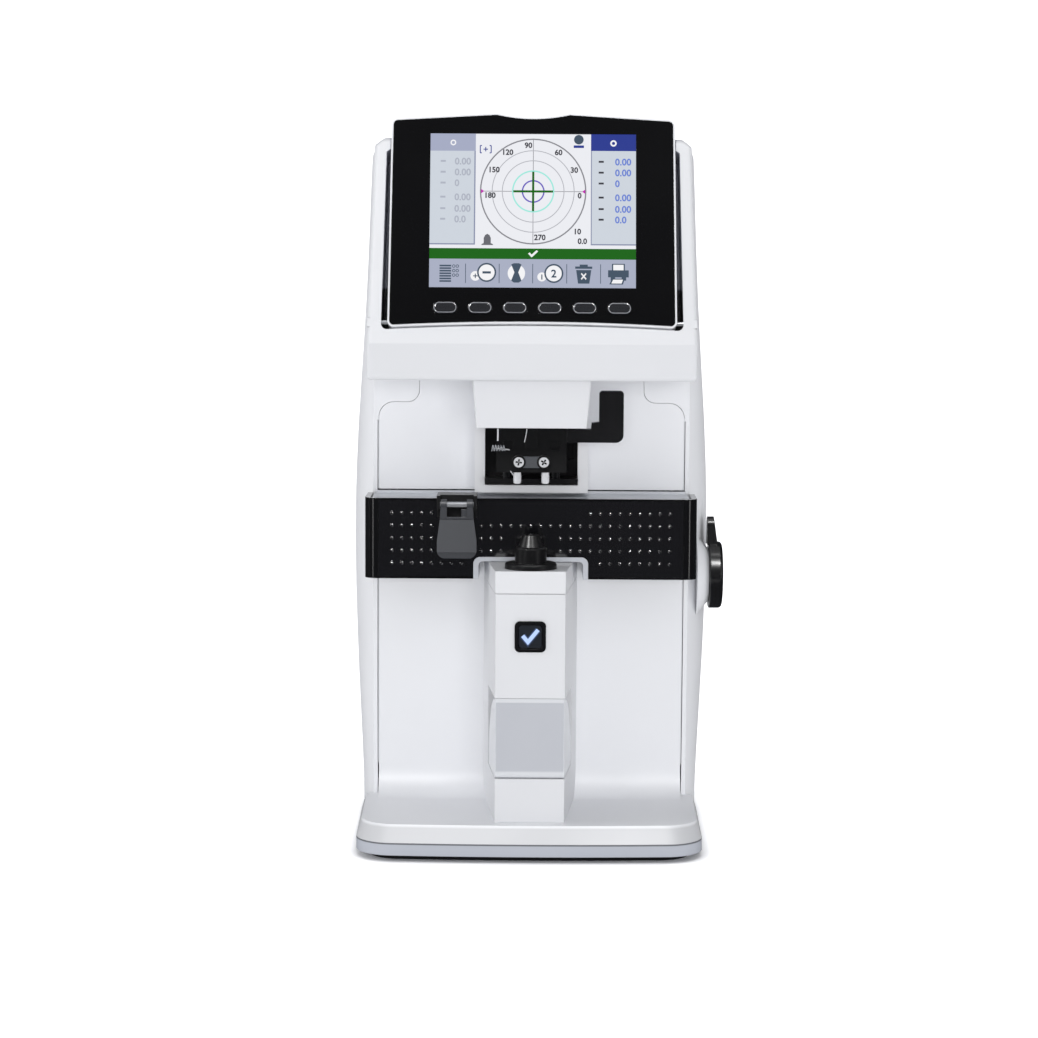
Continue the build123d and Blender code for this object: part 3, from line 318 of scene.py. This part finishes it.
# the painted light on the clear edges: both sides, the top and the foot, each from where it starts to where
# it is full
edge_light = 0.0
for along, starts, full in (
    (beside, 0.0190, 0.0196),
    (spread["Z"], bin_high[2] - 0.0026, bin_high[2] - 0.0018),
    (spread["Z"], bin_low[2] + 0.0046, bin_low[2] + 0.0034),
):
    near = put(tree, "ShaderNodeMapRange", {"Value": along, "From Min": starts, "From Max": full})
    nearest = put(tree, "ShaderNodeMath", {0: near.outputs["Result"], 1: edge_light}, operation="MAXIMUM")
    edge_light = nearest.outputs["Value"]
edge_lit = put(tree, "ShaderNodeMix", {
    "Factor": edge_light, 6: tint.outputs[2], 7: linear("#E6E8EC"),
}, data_type="RGBA")
frosting = put(tree, "ShaderNodeBump", {"Height": frost, "Strength": 0.4, "Distance": 0.00002})
body = put(tree, "ShaderNodeBsdfPrincipled", {
    "Base Color": edge_lit.outputs[2], "Roughness": 0.3, "IOR": 1.55, "Transmission Weight": 0.1,
    "Normal": frosting.outputs["Normal"],
})
put(tree, "ShaderNodeOutputMaterial", {"Surface": body.outputs["BSDF"]})
dress(bin_plastic, "accessory_bin")

# Lens support: the nozzle that the lens rests on, turned from black acetal, with the optics below.
# It presses into the column's cap, so it can be changed when its rim wears.
# Acetal: smooth black with a soft waxy highlight.
acetal = moulded("black_acetal", "#101012", 0.34, 0.0005, 0.00001, edge=0.0003, ior=1.38)
dress(acetal, "lens_support")
# Black anodised aluminium tubes around the optics: dark satin metal.
anodised = worked_metal("black_anodised_aluminium", "#2B2C2F", 0.4, 0.0003, "Z")
dress(anodised, "lamp_housing", "detector_barrel")

# Lenses: ground optical glass, coated against reflections, held in turned steps of the tubes.
# The faint violet tint in the glass is a painted sheen of their coating.
optical_glass, tree = blank("coated_optical_glass")
place = put(tree, "ShaderNodeTexCoord").outputs["Object"]
coating = put(tree, "ShaderNodeTexNoise", {"Vector": place, "Scale": 1 / 0.004, "Detail": 1.0}).outputs["Fac"]
sheen_tint = put(tree, "ShaderNodeMix", {
    "Factor": coating, 6: linear("#E9E2FF"), 7: linear("#F4F6FF"),
}, data_type="RGBA")
body = put(tree, "ShaderNodeBsdfPrincipled", {
    "Base Color": sheen_tint.outputs[2], "Roughness": 0.02, "IOR": 1.52, "Transmission Weight": 1.0,
})
put(tree, "ShaderNodeOutputMaterial", {"Surface": body.outputs["BSDF"]})
dress(optical_glass, "lenses")

# Circuit boards: glass-epoxy with a green solder mask, screwed to posts.
# They carry the processor, the detector and the contacts of the keys.
board_green = moulded("solder_masked_glass_epoxy", "#1C4A30", 0.3, 0.001, 0.00001, shade=0.35, coat=0.3)
dress(board_green, "main_board", "key_board", "sensor_board")

# Lens table: the bar that a pair of lenses stands against, so its axis can be read.
# It is moulded in black ABS, slides on two rods, and the hand wheel moves it through its racks.
# Black polished ABS: deep black, mirror highlights on the rounded ends.
table_gloss = moulded("polished_black_abs_table", "#0E0E10", 0.14, 0.001, 0.000006, edge=0.0006, coat=0.3)
dress(table_gloss, "table_cover")
# Table pad: a pressed-in strip of black polycarbonate with rows of small domes that grip the rims.
# Glossy polycarbonate: the domes each catch a white spark.
pad_gloss = moulded("glossy_polycarbonate_pad", "#101013", 0.09, 0.0015, 0.00001, ior=2.2)
dress(pad_gloss, "table_pad")
# Notch trim: a pale grey lip clipped into the notch, smooth to the frame that rests in it.
trim_grey = moulded("pale_grey_abs_lip", "#C6C9CF", 0.3, 0.0005, 0.00001, edge=0.0004)
dress(trim_grey, "notch_trim", "table_body")


# Wiper strip: a soft PVC lip along the rear edge of the table top, pushed into a groove there.
# It brushes under the wall and keeps dust out of the works, so hardly any gap is left.
def bar(name, material, middle, size):
    """A straight strip of soft stuff, by its middle and its size."""
    mesh = bpy.data.meshes.new(name)
    shape = bmesh.new()
    bmesh.ops.create_cube(shape, size=1.0, matrix=Matrix.Translation(middle) @ Matrix.Diagonal((*size, 1.0)))
    shape.to_mesh(mesh)
    shape.free()
    return finished(name, mesh, material)


# Soft PVC: pale grey and matt.
wiper_pvc = moulded("soft_pvc_wiper", "#D6D8DD", 0.6, 0.0004, 0.00001)
table_low, table_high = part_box("table_body")
wiper_back, wiper_lift = -0.0245, 0.0007
wiper_length, wiper_depth, wiper_height = table_high[0] - table_low[0] - 0.002, 0.0014, 0.0016
wiper = bar("table_wiper", wiper_pvc, (0, wiper_back - wiper_depth / 2, table_high[2] + wiper_lift),
            (wiper_length, wiper_depth, wiper_height))
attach(wiper, "table")

# Racks: natural acetal strips with 1 mm module teeth, screwed under the table's tail.
rack_acetal = moulded("natural_acetal", "#E6E4DC", 0.38, 0.0005, 0.00001)
dress(rack_acetal, "table_racks")

# Hand wheel: turns the drive shaft, with a lever tab for the thumb.
# It is moulded in black ABS and pressed on the shaft's end.
# Black satin ABS: a soft vertical highlight on its rim.
wheel_black = moulded("satin_black_abs_wheel", "#151517", 0.25, 0.0005, 0.000015, edge=0.0006)
dress(wheel_black, "hand_wheel")

# Nose rest: the frame's bridge leans on its rubber-faced arm. A carriage slides along the
# table's top edge, and the arm folds up on a steel pin when bare lenses are measured.
# Black glass-filled nylon: dark grey, slightly streaky satin.
nylon = moulded("glass_filled_nylon", "#131315", 0.36, 0.0004, 0.00003, shade=0.25, edge=0.0003)
dress(nylon, "slider_carriage")
arm_nylon = moulded("grey_nylon_arm", "#3F4146", 0.4, 0.0004, 0.00003, shade=0.15, edge=0.0005)
dress(arm_nylon, "nose_arm")
# Silicone facing on the arm: matt dark grey with a faint bloom.
silicone = moulded("matt_silicone_facing", "#46484D", 0.62, 0.0004, 0.00004, shade=0.12)
dress(silicone, "arm_pad")

# Seam tapes: foam strips pressed into the upright joints between casing and front panels.
# They keep dust out, close the view into the machine, and stand a hair proud of the wall.
# Polyurethane foam: pale grey, matt and slightly porous.
tape_foam = moulded("grey_polyurethane_foam", "#D9DBDF", 0.8, 0.0003, 0.00005)
tape_x, tape_y, tape_width, tape_depth = 0.09005, -0.02265, 0.0006, 0.0008
for hand, side in (("left", -1), ("right", 1)):
    for part, low, high in (("low", 0.0385, 0.1525), ("high", 0.2031, 0.2452)):
        tape = bar(f"seam_tape_{part}_{hand}", tape_foam, (side * tape_x, tape_y, (low + high) / 2),
                   (tape_width, tape_depth, high - low))
        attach(tape, "casing")

# Head: what hangs under the hood and holds the lens down. The guide plate, the carriage and the
# lever are moulded in black nylon; the carriage slides on two steel rods.
# Black nylon with traces of grease: satin, uneven gloss.
head_nylon = moulded("greased_black_nylon", "#141416", 0.32, 0.0006, 0.00004, shade=0.4, edge=0.0003)
dress(head_nylon, "press_guide", "press_carriage")
# Press lever: smooth black ABS, rubbed shiny by the finger.
lever_black = moulded("finger_polished_abs", "#161618", 0.24, 0.0006, 0.00001, edge=0.0008)
dress(lever_black, "press_lever")
# Clamp plate: stamped stainless steel, lines across it.
stainless = worked_metal("stamped_stainless_steel", "#787B80", 0.3, 0.0002, "X")
dress(stainless, "clamp_plate")
# Spring: drawn music wire, zinc plated.
spring_wire = worked_metal("zinc_plated_music_wire", "#D0D3D8", 0.25, 0.0002, "X")
dress(spring_wire, "hook_spring")

# Press pins: turned steel pins that touch the lens, each with a knurled grip ring.
# The carriage guides their stems, and a spring above each lets it give.
pin_steel = worked_metal("turned_pin_steel", "#ECEDF0", 0.22, 0.00012, "X", metallic=0.25)
dress(pin_steel, "press_pin_left", "press_pin_right")
knurl = bpy.data.node_groups.new("knurled_ring", "GeometryNodeTree")
for label, kind in (("Ribs", "NodeSocketInt"), ("Radius", "NodeSocketFloat"), ("Height", "NodeSocketFloat"),
                    ("Rib Width", "NodeSocketFloat"), ("Metal", "NodeSocketMaterial")):
    knurl.interface.new_socket(label, in_out="INPUT", socket_type=kind)
knurl.interface.new_socket("Geometry", in_out="OUTPUT", socket_type="NodeSocketGeometry")
given = put(knurl, "NodeGroupInput").outputs
ring = put(knurl, "GeometryNodeMeshCircle", {"Vertices": given["Ribs"], "Radius": given["Radius"]})
rib_size = put(knurl, "ShaderNodeCombineXYZ", {
    "X": given["Rib Width"], "Y": given["Rib Width"], "Z": given["Height"],
})
rib = put(knurl, "GeometryNodeMeshCube", {"Size": rib_size.outputs["Vector"]})
spot = put(knurl, "GeometryNodeInputPosition").outputs["Position"]
turn = put(knurl, "FunctionNodeAlignEulerToVector", {"Vector": spot}, axis="X", pivot_axis="Z")
ribs = put(knurl, "GeometryNodeInstanceOnPoints", {
    "Points": ring.outputs["Mesh"], "Instance": rib.outputs["Mesh"], "Rotation": turn.outputs["Rotation"],
})
solid = put(knurl, "GeometryNodeRealizeInstances", {"Geometry": ribs.outputs["Instances"]})
metal = put(knurl, "GeometryNodeSetMaterial", {
    "Geometry": solid.outputs["Geometry"], "Material": given["Metal"],
})
put(knurl, "NodeGroupOutput", {"Geometry": metal.outputs["Geometry"]})


def baked(holder):
    """The plain mesh of an object as its curve or its modifiers make it; the object itself goes."""
    bpy.context.collection.objects.link(holder)
    mesh = bpy.data.meshes.new_from_object(holder.evaluated_get(bpy.context.evaluated_depsgraph_get()))
    holder.modifiers.clear()
    bpy.data.objects.remove(holder)
    return mesh


def grown(tree, values, name, at):
    """Runs a Geometry Nodes tree with its inputs, and gives the plain mesh object moved to its place."""
    holder = bpy.data.objects.new(f"{name}_tree", bpy.data.meshes.new(f"{name}_tree"))
    modifier = holder.modifiers.new("tree", "NODES")
    modifier.node_group = tree
    for item in tree.interface.items_tree:
        if item.name in values:
            modifier[item.identifier] = values[item.name]
    mesh = baked(holder)
    mesh.transform(at)
    mesh.name = name
    return finished(name, mesh)


ring_sizes = {"Ribs": 26, "Radius": 0.00207, "Height": 0.0038, "Rib Width": 0.00034, "Metal": pin_steel}
ring_height = 0.0032
for name, body_name in (("press_pin_left", "pin_left"), ("press_pin_right", "pin_right")):
    low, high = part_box(name)
    middle = ((low[0] + high[0]) / 2, (low[1] + high[1]) / 2, low[2] + ring_height)
    grip = grown(knurl, ring_sizes, f"{body_name}_knurl", Matrix.Translation(middle))
    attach(grip, body_name)


# Wires of the head: thin insulated leads and bare spring wires on the carriage.
# They are clipped under the clamp plate and bent by hand, so none is quite straight.
def round_line(name, material, radius, points, closed=False):
    """A round wire or bead along points in millimetres, as a plain mesh object."""
    line = bpy.data.curves.new(name, "CURVE")
    line.dimensions = "3D"
    line.bevel_depth = radius
    line.bevel_resolution = 3
    line.use_fill_caps = True
    run = line.splines.new("NURBS")
    run.points.add(len(points) - 1)
    for point, place_mm in zip(run.points, points):
        point.co = [c / 1000 for c in place_mm] + [1]
    run.order_u = 3
    run.use_endpoint_u = not closed
    run.use_cyclic_u = closed
    mesh = baked(bpy.data.objects.new(f"{name}_curve", line))
    mesh.materials.clear()
    return finished(name, mesh, material)


# Soft white PVC around copper, and bare tinned steel.
lead_white = moulded("white_pvc_lead", "#E4E5E8", 0.35, 0.0004, 0.00001)
bare_wire = worked_metal("bare_tinned_wire", "#E6E7EA", 0.2, 0.0002, "X", metallic=0.3)
for name, material, radius, points in (
    ("lead_upright", lead_white, 0.00045, [
        (-19.1, -80.9, 243.0), (-19.0, -81.1, 239.0), (-19.2, -81.1, 236.0)]),
    ("wave_wire", bare_wire, 0.0004, [
        (-19.6, -81.0, 231.4), (-18.2, -81.2, 231.8), (-16.4, -81.2, 230.8), (-14.6, -81.2, 231.4),
        (-12.4, -81.0, 230.9)]),
    ("thin_wire", bare_wire, 0.0003, [
        (-2.6, -82.5, 243.0), (-3.0, -82.6, 239.5), (-4.0, -82.5, 235.4)]),
    ("slant_wire", bare_wire, 0.0003, [
        (-12.0, -80.9, 218.9), (-11.0, -81.0, 217.9), (-10.4, -81.0, 216.6)]),
):
    wire = round_line(name, material, radius, points)
    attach(wire, "press")

# Display front: a black acrylic sheet with rounded corners, bonded into the white housing.
# A clear window is left in its back print for the panel, and slots are cut for the soft keys.
# Back-printed acrylic: jet black under a clear mirror-smooth surface.
front_acrylic = moulded("back_printed_acrylic", "#08080A", 0.09, 0.002, 0.000002, coat=0.5, edge=0.0004)
dress(front_acrylic, "display_front")
# Soft keys: silicone keys under a clear hard cap, which catches a bright line along its top edge.
key_cap = moulded("clear_capped_silicone", "#242529", 0.12, 0.0008, 0.00001, ior=1.9, coat=0.7, edge=0.0012)
dress(key_cap, *[f"soft_key_{n}" for n in range(1, 7)])

# Key rims: each cap has a clear bead moulded around its face, which gathers light along its
# long sides. The bead is one with the cap and moves with it.
# Clear polycarbonate over grey, its pale grey a painted highlight line around each key; the lights add
# bright, narrow highlights.
rim_painted_highlight = moulded("pale_rim_painted_highlight", "#8A8C92", 0.16, 0.0008, 0.000004, ior=1.8, coat=0.6)
# the display leans back from its hinge: lengths along its face, in millimetres
hinge_y, hinge_z = -108.0, 302.4
lean = math.radians(13.8)
across = Vector((1, 0, 0))
up = Vector((0, math.sin(lean), math.cos(lean)))
out = Vector((0, -math.cos(lean), math.sin(lean)))
key_pitch, key_height, rim_in_front = 19.4, 9.7, 1.55
half_straight, end_radius = 3.35, 2.7
for number in range(1, 7):
    key_x = key_pitch * (number - 3.5)
    centre = Vector((key_x, hinge_y, hinge_z)) + up * key_height + out * rim_in_front
    bead = []
    for degrees in range(0, 360, 12):
        turn = math.radians(degrees)
        run_out = half_straight * (1 if math.cos(turn) > 0.01 else -1) + end_radius * math.cos(turn)
        bead.append(centre + across * run_out + up * end_radius * math.sin(turn))
    rim = round_line(f"key_rim_{number}", rim_painted_highlight, 0.00026, bead, closed=True)
    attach(rim, f"key_{number}")

# Screen: a 5.7-inch liquid crystal panel of 640 by 480 dots behind the acrylic sheet.
# Its backlight is even and slightly cool; what it shows is drawn in flat inks on the dots.
panel_glow = lit("backlit_panel", "#ECEDF2", 1.0, 0.01)
dress(panel_glow, "lcd_panel")
window_low, window_high = 21.4, 109.6  # millimetres above the hinge
window_middle = Vector((0, hinge_y / 1000, hinge_z / 1000)) + up * ((window_low + window_high) / 2000)
dot_width, dot_height = 0.1152 / 640, 0.0882 / 480


def on_screen(x, y, layer):
    """A dot of the panel as a place in the frame, each layer 0.01 mm in front of the last."""
    in_front = layer * 0.00001 - 0.00008
    return window_middle + across * (x - 320) * dot_width + up * (240 - y) * dot_height + out * in_front


inks = {
    "pale": "#D3DAE3", "pale_head": "#AAB0C8", "blue": "#2C3C93", "green": "#17660B", "bar": "#AEB4C8",
    "ring": "#8B8B91", "faint": "#B5B6BD", "cyan": "#A0F0E2", "violet": "#6A5BC2", "mark": "#C329B4",
    "slate": "#465667", "white": "#FAFAFC", "digit": "#3B3B42", "value": "#6F87D8", "dim": "#B4B9C6",
    "dome": "#6B6C72", "line": "#8C93AE",
}
drawn = {ink: bmesh.new() for ink in inks}


def fill(ink, points, layer):
    """A flat patch of one ink through dots given in order."""
    sheet = drawn[ink]
    made = sheet.faces.new([sheet.verts.new(on_screen(x, y, layer)) for x, y in points])
    made.normal_update()
    if made.normal.dot(out) < 0:
        made.normal_flip()


def box_of(ink, left, top, right, bottom, layer=1):
    """A rectangle of one ink."""
    fill(ink, [(left, top), (right, top), (right, bottom), (left, bottom)], layer)


def ring_of(ink, x, y, radius, width, layer):
    """A ring of one ink around a dot, in 60 short steps."""
    inner, outer = radius - width / 2, radius + width / 2
    turns = [math.radians(6 * step) for step in range(61)]
    for a, b in zip(turns, turns[1:]):
        fill(ink, [(x + reach * math.cos(turn), y - reach * math.sin(turn))
                   for reach, turn in ((inner, a), (outer, a), (outer, b), (inner, b))], layer)


def disc_of(ink, x, y, radius, layer):
    """A filled circle of one ink."""
    turns = [math.radians(a) for a in range(0, 360, 12)]
    fill(ink, [(x + radius * math.cos(turn), y - radius * math.sin(turn)) for turn in turns], layer)


def figures(ink, text, x, y, height, layer=3, side="CENTER"):
    """Figures set in one ink, drawn bold, their middle at the given dot."""
    words = bpy.data.curves.new("figures", "FONT")
    words.body = text
    words.size = height * 1.4  # so that a figure is as tall as its height
    words.align_x = side
    words.resolution_u = 3
    words.offset = 0.8  # makes the strokes bold
    mesh = baked(bpy.data.objects.new("figures", words))
    for vertex in mesh.vertices:
        vertex.co = on_screen(x + vertex.co.x, y - vertex.co.y + height / 2, layer)
    drawn[ink].from_mesh(mesh)


# side panels with their readouts
box_of("pale", 0, 54, 141, 346)
box_of("pale_head", 0, 0, 141, 54)
box_of("pale", 500, 52, 640, 346)
box_of("blue", 500, 0, 640, 52)
for left, right in ((0, 141), (500, 640)):
    box_of("line", left, 343, right, 347, 2)
box_of("line", 137, 54, 141, 346, 2)
box_of("line", 500, 52, 503, 346, 2)
for row, value in zip((86, 120, 154, 198, 234, 267), ("0.00", "0.00", "0", "0.00", "0.00", "0.0")):
    figures("dim", value, 76, row, 21, side="LEFT")
    figures("value", value, 575, row, 21, side="LEFT")
    box_of("dim", 32, row - 3, 48, row + 3, 2)
    box_of("digit", 524, row - 3, 540, row + 3, 2)
disc_of("white", 71, 28, 9, 3)
disc_of("pale_head", 71, 28, 5, 4)
disc_of("white", 570, 28, 10, 3)
disc_of("blue", 570, 28, 5, 4)
# aiming dial: rings, two hair lines, a thick cross and a small arrow at each side
dial_x, dial_y, hair_reach, cross_reach, cross_half, arrow_at = 320.5, 180, 163, 62, 3.4, 152
for radius, width, ink in ((163.5, 4.2, "ring"), (127.5, 2.6, "faint"), (96, 2.6, "faint"),
                           (63.6, 4.4, "cyan"), (33.4, 4.4, "violet")):
    ring_of(ink, dial_x, dial_y, radius, width, 2)
box_of("ring", dial_x - hair_reach, dial_y - 1, dial_x + hair_reach, dial_y + 1)
box_of("ring", dial_x - 1, dial_y - hair_reach, dial_x + 1, dial_y + hair_reach)
box_of("green", dial_x - cross_reach, dial_y - cross_half, dial_x + cross_reach, dial_y + cross_half, 4)
box_of("green", dial_x - cross_half, dial_y - cross_reach, dial_x + cross_half, dial_y + cross_reach, 4)
for side in (-1, 1):
    tip = dial_x + side * arrow_at
    fill("mark", [(tip, dial_y), (tip + side * 10, dial_y - 7), (tip + side * 10, dial_y + 7)], 4)
for angle, x, y in ((90, 305, 35), (120, 240, 57), (60, 399, 57), (150, 198, 112), (30, 448, 112),
                    (180, 186, 192), (0, 465, 192), (270, 342, 323)):
    figures("digit", str(angle), x, y, 17)
figures("digit", "10", 458, 304, 17)
figures("digit", "0.0", 474, 334, 17)
disc_of("slate", 462, 17, 15, 3)
box_of("blue", 446, 35, 478, 43, 3)
# aiming sign: a cross between two brackets
for side in (-1, 1):
    edge_x = 172 + side * 17
    box_of("blue", edge_x - 1.5, 37, edge_x + 1.5, 60, 3)
    left, right = sorted((edge_x, edge_x - side * 5))
    for bar_y in (37, 60):
        box_of("blue", left, bar_y - 1.5, right, bar_y + 1.5, 3)
box_of("blue", 165, 47, 179, 50, 3)
box_of("blue", 170.5, 41.5, 173.5, 55.5, 3)
# nozzle sign
fill("dome", [(160, 348), (163, 344), (168, 342), (168, 326), (172, 317), (179, 313), (186, 317), (190, 326),
              (190, 342), (195, 344), (198, 348)], 3)
# state bar with a check sign
box_of("green", 0, 358, 640, 391)
fill("white", [(306, 374), (311, 370), (317, 377), (332, 363), (337, 367), (317, 386)], 3)
# toolbar
box_of("bar", 0, 391, 640, 480)
for x in (112.6, 216.8, 320.6, 426, 530.8):
    box_of("slate", x - 1, 406, x + 1, 466, 2)
# list sign
for row in range(7):
    box_of("slate", 32, 410 + 8 * row, 68, 415 + 8 * row, 3)
for column in range(2):
    for row in range(3):
        ring_of("slate", 76 + 11 * column, 414 + 14 * row, 4, 2, 3)
# plus and minus signs
disc_of("white", 143, 444, 15, 2)
box_of("slate", 136, 442.5, 150, 445.5, 3)
box_of("slate", 141.5, 437, 144.5, 451, 3)
disc_of("white", 178, 433, 26, 3)
ring_of("slate", 178, 433, 27, 5, 4)
box_of("slate", 165, 429.5, 191, 436.5, 4)
# hourglass sign
disc_of("white", 270, 435, 27, 2)
fill("slate", [(254, 408), (262, 404), (278, 404), (286, 408), (276, 432), (286, 458), (278, 464), (262, 464),
               (254, 458), (264, 432)], 3)
# side change sign
disc_of("white", 349, 446, 14, 2)
figures("slate", "1", 349, 446, 15)
disc_of("white", 386, 435, 26, 3)
ring_of("slate", 386, 435, 27, 5, 4)
figures("slate", "2", 386, 435, 24, 5)
# bin sign
fill("slate", [(455, 424), (502, 424), (496, 466), (461, 466)], 3)
box_of("slate", 452, 413, 505, 420, 3)
box_of("slate", 466, 407, 491, 413, 3)
for side in (-1, 1):
    fill("white", [(478.5 - 9 * side, 436), (478.5 - 6 * side, 433), (478.5 + 9 * side, 451),
                   (478.5 + 6 * side, 454)], 4)
# printer sign
box_of("slate", 554, 424, 618, 446, 3)
box_of("slate", 566, 404, 606, 424, 2)
box_of("white", 570, 407, 602, 424, 3)
box_of("slate", 562, 446, 576, 456, 3)
box_of("slate", 596, 446, 610, 456, 3)
fill("slate", [(566, 450), (606, 450), (600, 468), (558, 468)], 4)
fill("white", [(570, 453), (600, 453), (596, 465), (564, 465)], 5)

for ink, colour in inks.items():
    mesh = bpy.data.meshes.new(f"screen_{ink}")
    drawn[ink].to_mesh(mesh)
    drawn[ink].free()
    patch = finished(f"screen_{ink}", mesh, lit(f"display_ink_{ink}", colour, 0.95, 0.02))
    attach(patch, "display")

# Rear sockets: the mains inlet with its rocker switch, and two data ports, let into a plate that is
# pressed into the casing's recess. All are black thermoplastic, satin and fine-grained.
socket_black = moulded("satin_black_thermoplastic", "#18181A", 0.4, 0.0005, 0.00002, edge=0.0004)
dress(socket_black, "rear_panel", "power_inlet", "power_rocker", "data_ports")

# Floor: a sweep of pale paper that lies under the machine and curves up some way behind it.
# Uncoated paper: matt, with faint clouds of fibre.
floor_paper, tree = blank("pale_paper_sweep")
place = put(tree, "ShaderNodeTexCoord").outputs["Object"]
fibre = put(tree, "ShaderNodeTexNoise", {"Vector": place, "Scale": 1 / 0.02, "Detail": 2.0}).outputs["Fac"]
paper = put(tree, "ShaderNodeMix", {
    "Factor": fibre, 6: linear("#F6F6F7"), 7: linear("#FBFBFC"),
}, data_type="RGBA")
# the paper glows evenly, but less close under the base: a painted contact shadow
shadow_ao = put(tree, "ShaderNodeAmbientOcclusion", {"Distance": 0.014}, samples=12).outputs["AO"]
glow_outside_shadow = put(tree, "ShaderNodeMapRange", {"Value": shadow_ao, "From Min": 0.45, "From Max": 0.95,
                                              "To Min": 0.02, "To Max": 0.85}).outputs["Result"]
sheet_shader = put(tree, "ShaderNodeBsdfPrincipled", {
    "Base Color": paper.outputs[2], "Roughness": 0.9, "Emission Color": paper.outputs[2],
    "Emission Strength": glow_outside_shadow,
})
# to glossy rays the paper is a dark grey, a painted dark reflection that keeps the black glossy pieces black;
# to bounced light it is partly so, which paints shade
painted_dark_card = put(tree, "ShaderNodeBsdfDiffuse", {"Color": linear("#3A3B3E")})
path = put(tree, "ShaderNodeLightPath").outputs
taken = put(tree, "ShaderNodeMath", {0: path["Is Diffuse Ray"], 1: 0.42}, operation="MULTIPLY")
hidden = put(tree, "ShaderNodeMath", {
    0: path["Is Glossy Ray"], 1: taken.outputs["Value"],
}, operation="MAXIMUM")
seen = put(tree, "ShaderNodeMixShader", {
    "Fac": hidden.outputs["Value"], 1: sheet_shader.outputs["BSDF"], 2: painted_dark_card.outputs["BSDF"],
})
put(tree, "ShaderNodeOutputMaterial", {"Surface": seen.outputs["Shader"]})
# its side line in metres: flat, a quarter round, then upright
half_width, front_edge, bend_start, bend_radius, top_edge = 4.0, -3.0, 1.4, 0.8, 4.0
sweep_line = [(front_edge, 0.0), (bend_start, 0.0)]
for degrees in range(10, 91, 10):
    turn = math.radians(degrees)
    sweep_line.append((bend_start + bend_radius * math.sin(turn), bend_radius - bend_radius * math.cos(turn)))
sweep_line.append((bend_start + bend_radius, top_edge))
mesh = bpy.data.meshes.new("floor")
corners = [(x, y, z) for y, z in sweep_line for x in (-half_width, half_width)]
mesh.from_pydata(corners, [], [(2 * i, 2 * i + 1, 2 * i + 3, 2 * i + 2) for i in range(len(sweep_line) - 1)])
floor = finished("floor", mesh, floor_paper)
for face in mesh.polygons:
    face.use_smooth = True

# Light: soft boxes above and at both sides, and a large sheet in front that fills the shade.
# Small sparks and narrow strips only glint in the glossy pieces; the pale air hardly does.
world = bpy.data.worlds.new("studio")
world.use_nodes = True
tree = world.node_tree
tree.nodes.clear()
mirrored = put(tree, "ShaderNodeLightPath").outputs["Is Glossy Ray"]
level = put(tree, "ShaderNodeMapRange", {"Value": mirrored, "To Min": 0.42, "To Max": 0.06})
air = put(tree, "ShaderNodeBackground", {"Color": linear("#F4F6FA"), "Strength": level.outputs["Result"]})
put(tree, "ShaderNodeOutputWorld", {"Surface": air.outputs["Background"]})
bpy.context.scene.world = world
bpy.context.scene.view_settings.view_transform = "Standard"
middle = (0, 0, 0.2)
# watts, width and height, where it stands and what it looks at, in metres
for name, power, size, spot, aim in (
    ("top_box", 2.4, (1.4, 1.2), (0.0, 0.3, 1.7), middle),
    ("left_box", 9, (0.5, 1.4), (-1.7, -0.3, 0.8), middle),
    ("right_box", 2.4, (0.5, 1.4), (1.3, -0.8, 0.8), middle),
    ("front_sheet", 62, (1.8, 1.0), (0.3, -4.2, 0.5), middle),
    ("left_spark", 45, (0.25, 0.25), (-0.8, -1.7, 1.6), middle),
    ("right_spark", 45, (0.25, 0.25), (0.5, -1.5, 1.8), middle),
    ("left_strip", 0.35, (0.1, 0.3), (-0.75, -0.9, 0.16), (0, 0, 0.16)),
    ("right_strip", 0.35, (0.1, 0.3), (0.8, -0.75, 0.16), (0, 0, 0.16)),
    ("edge_strip", 4, (1.6, 0.12), (0.0, -0.25, 1.6), (0, -0.05, 0.2)),
    ("wheel_strip", 0.01, (0.014, 0.03), (0.112, -0.35, 0.062), (0.112, 0, 0.15)),
):
    light = bpy.data.lights.new(name, "AREA")
    light.shape = "RECTANGLE"
    light.size, light.size_y = size
    light.energy = power
    holder = bpy.data.objects.new(name, light)
    holder.location = spot
    holder.rotation_euler = (Vector(aim) - Vector(spot)).to_track_quat("-Z", "Y").to_euler()
    holder.visible_glossy = name != "front_sheet"
    holder.visible_diffuse = not name.endswith(("spark", "strip"))
    holder.visible_camera = False
    bpy.context.collection.objects.link(holder)
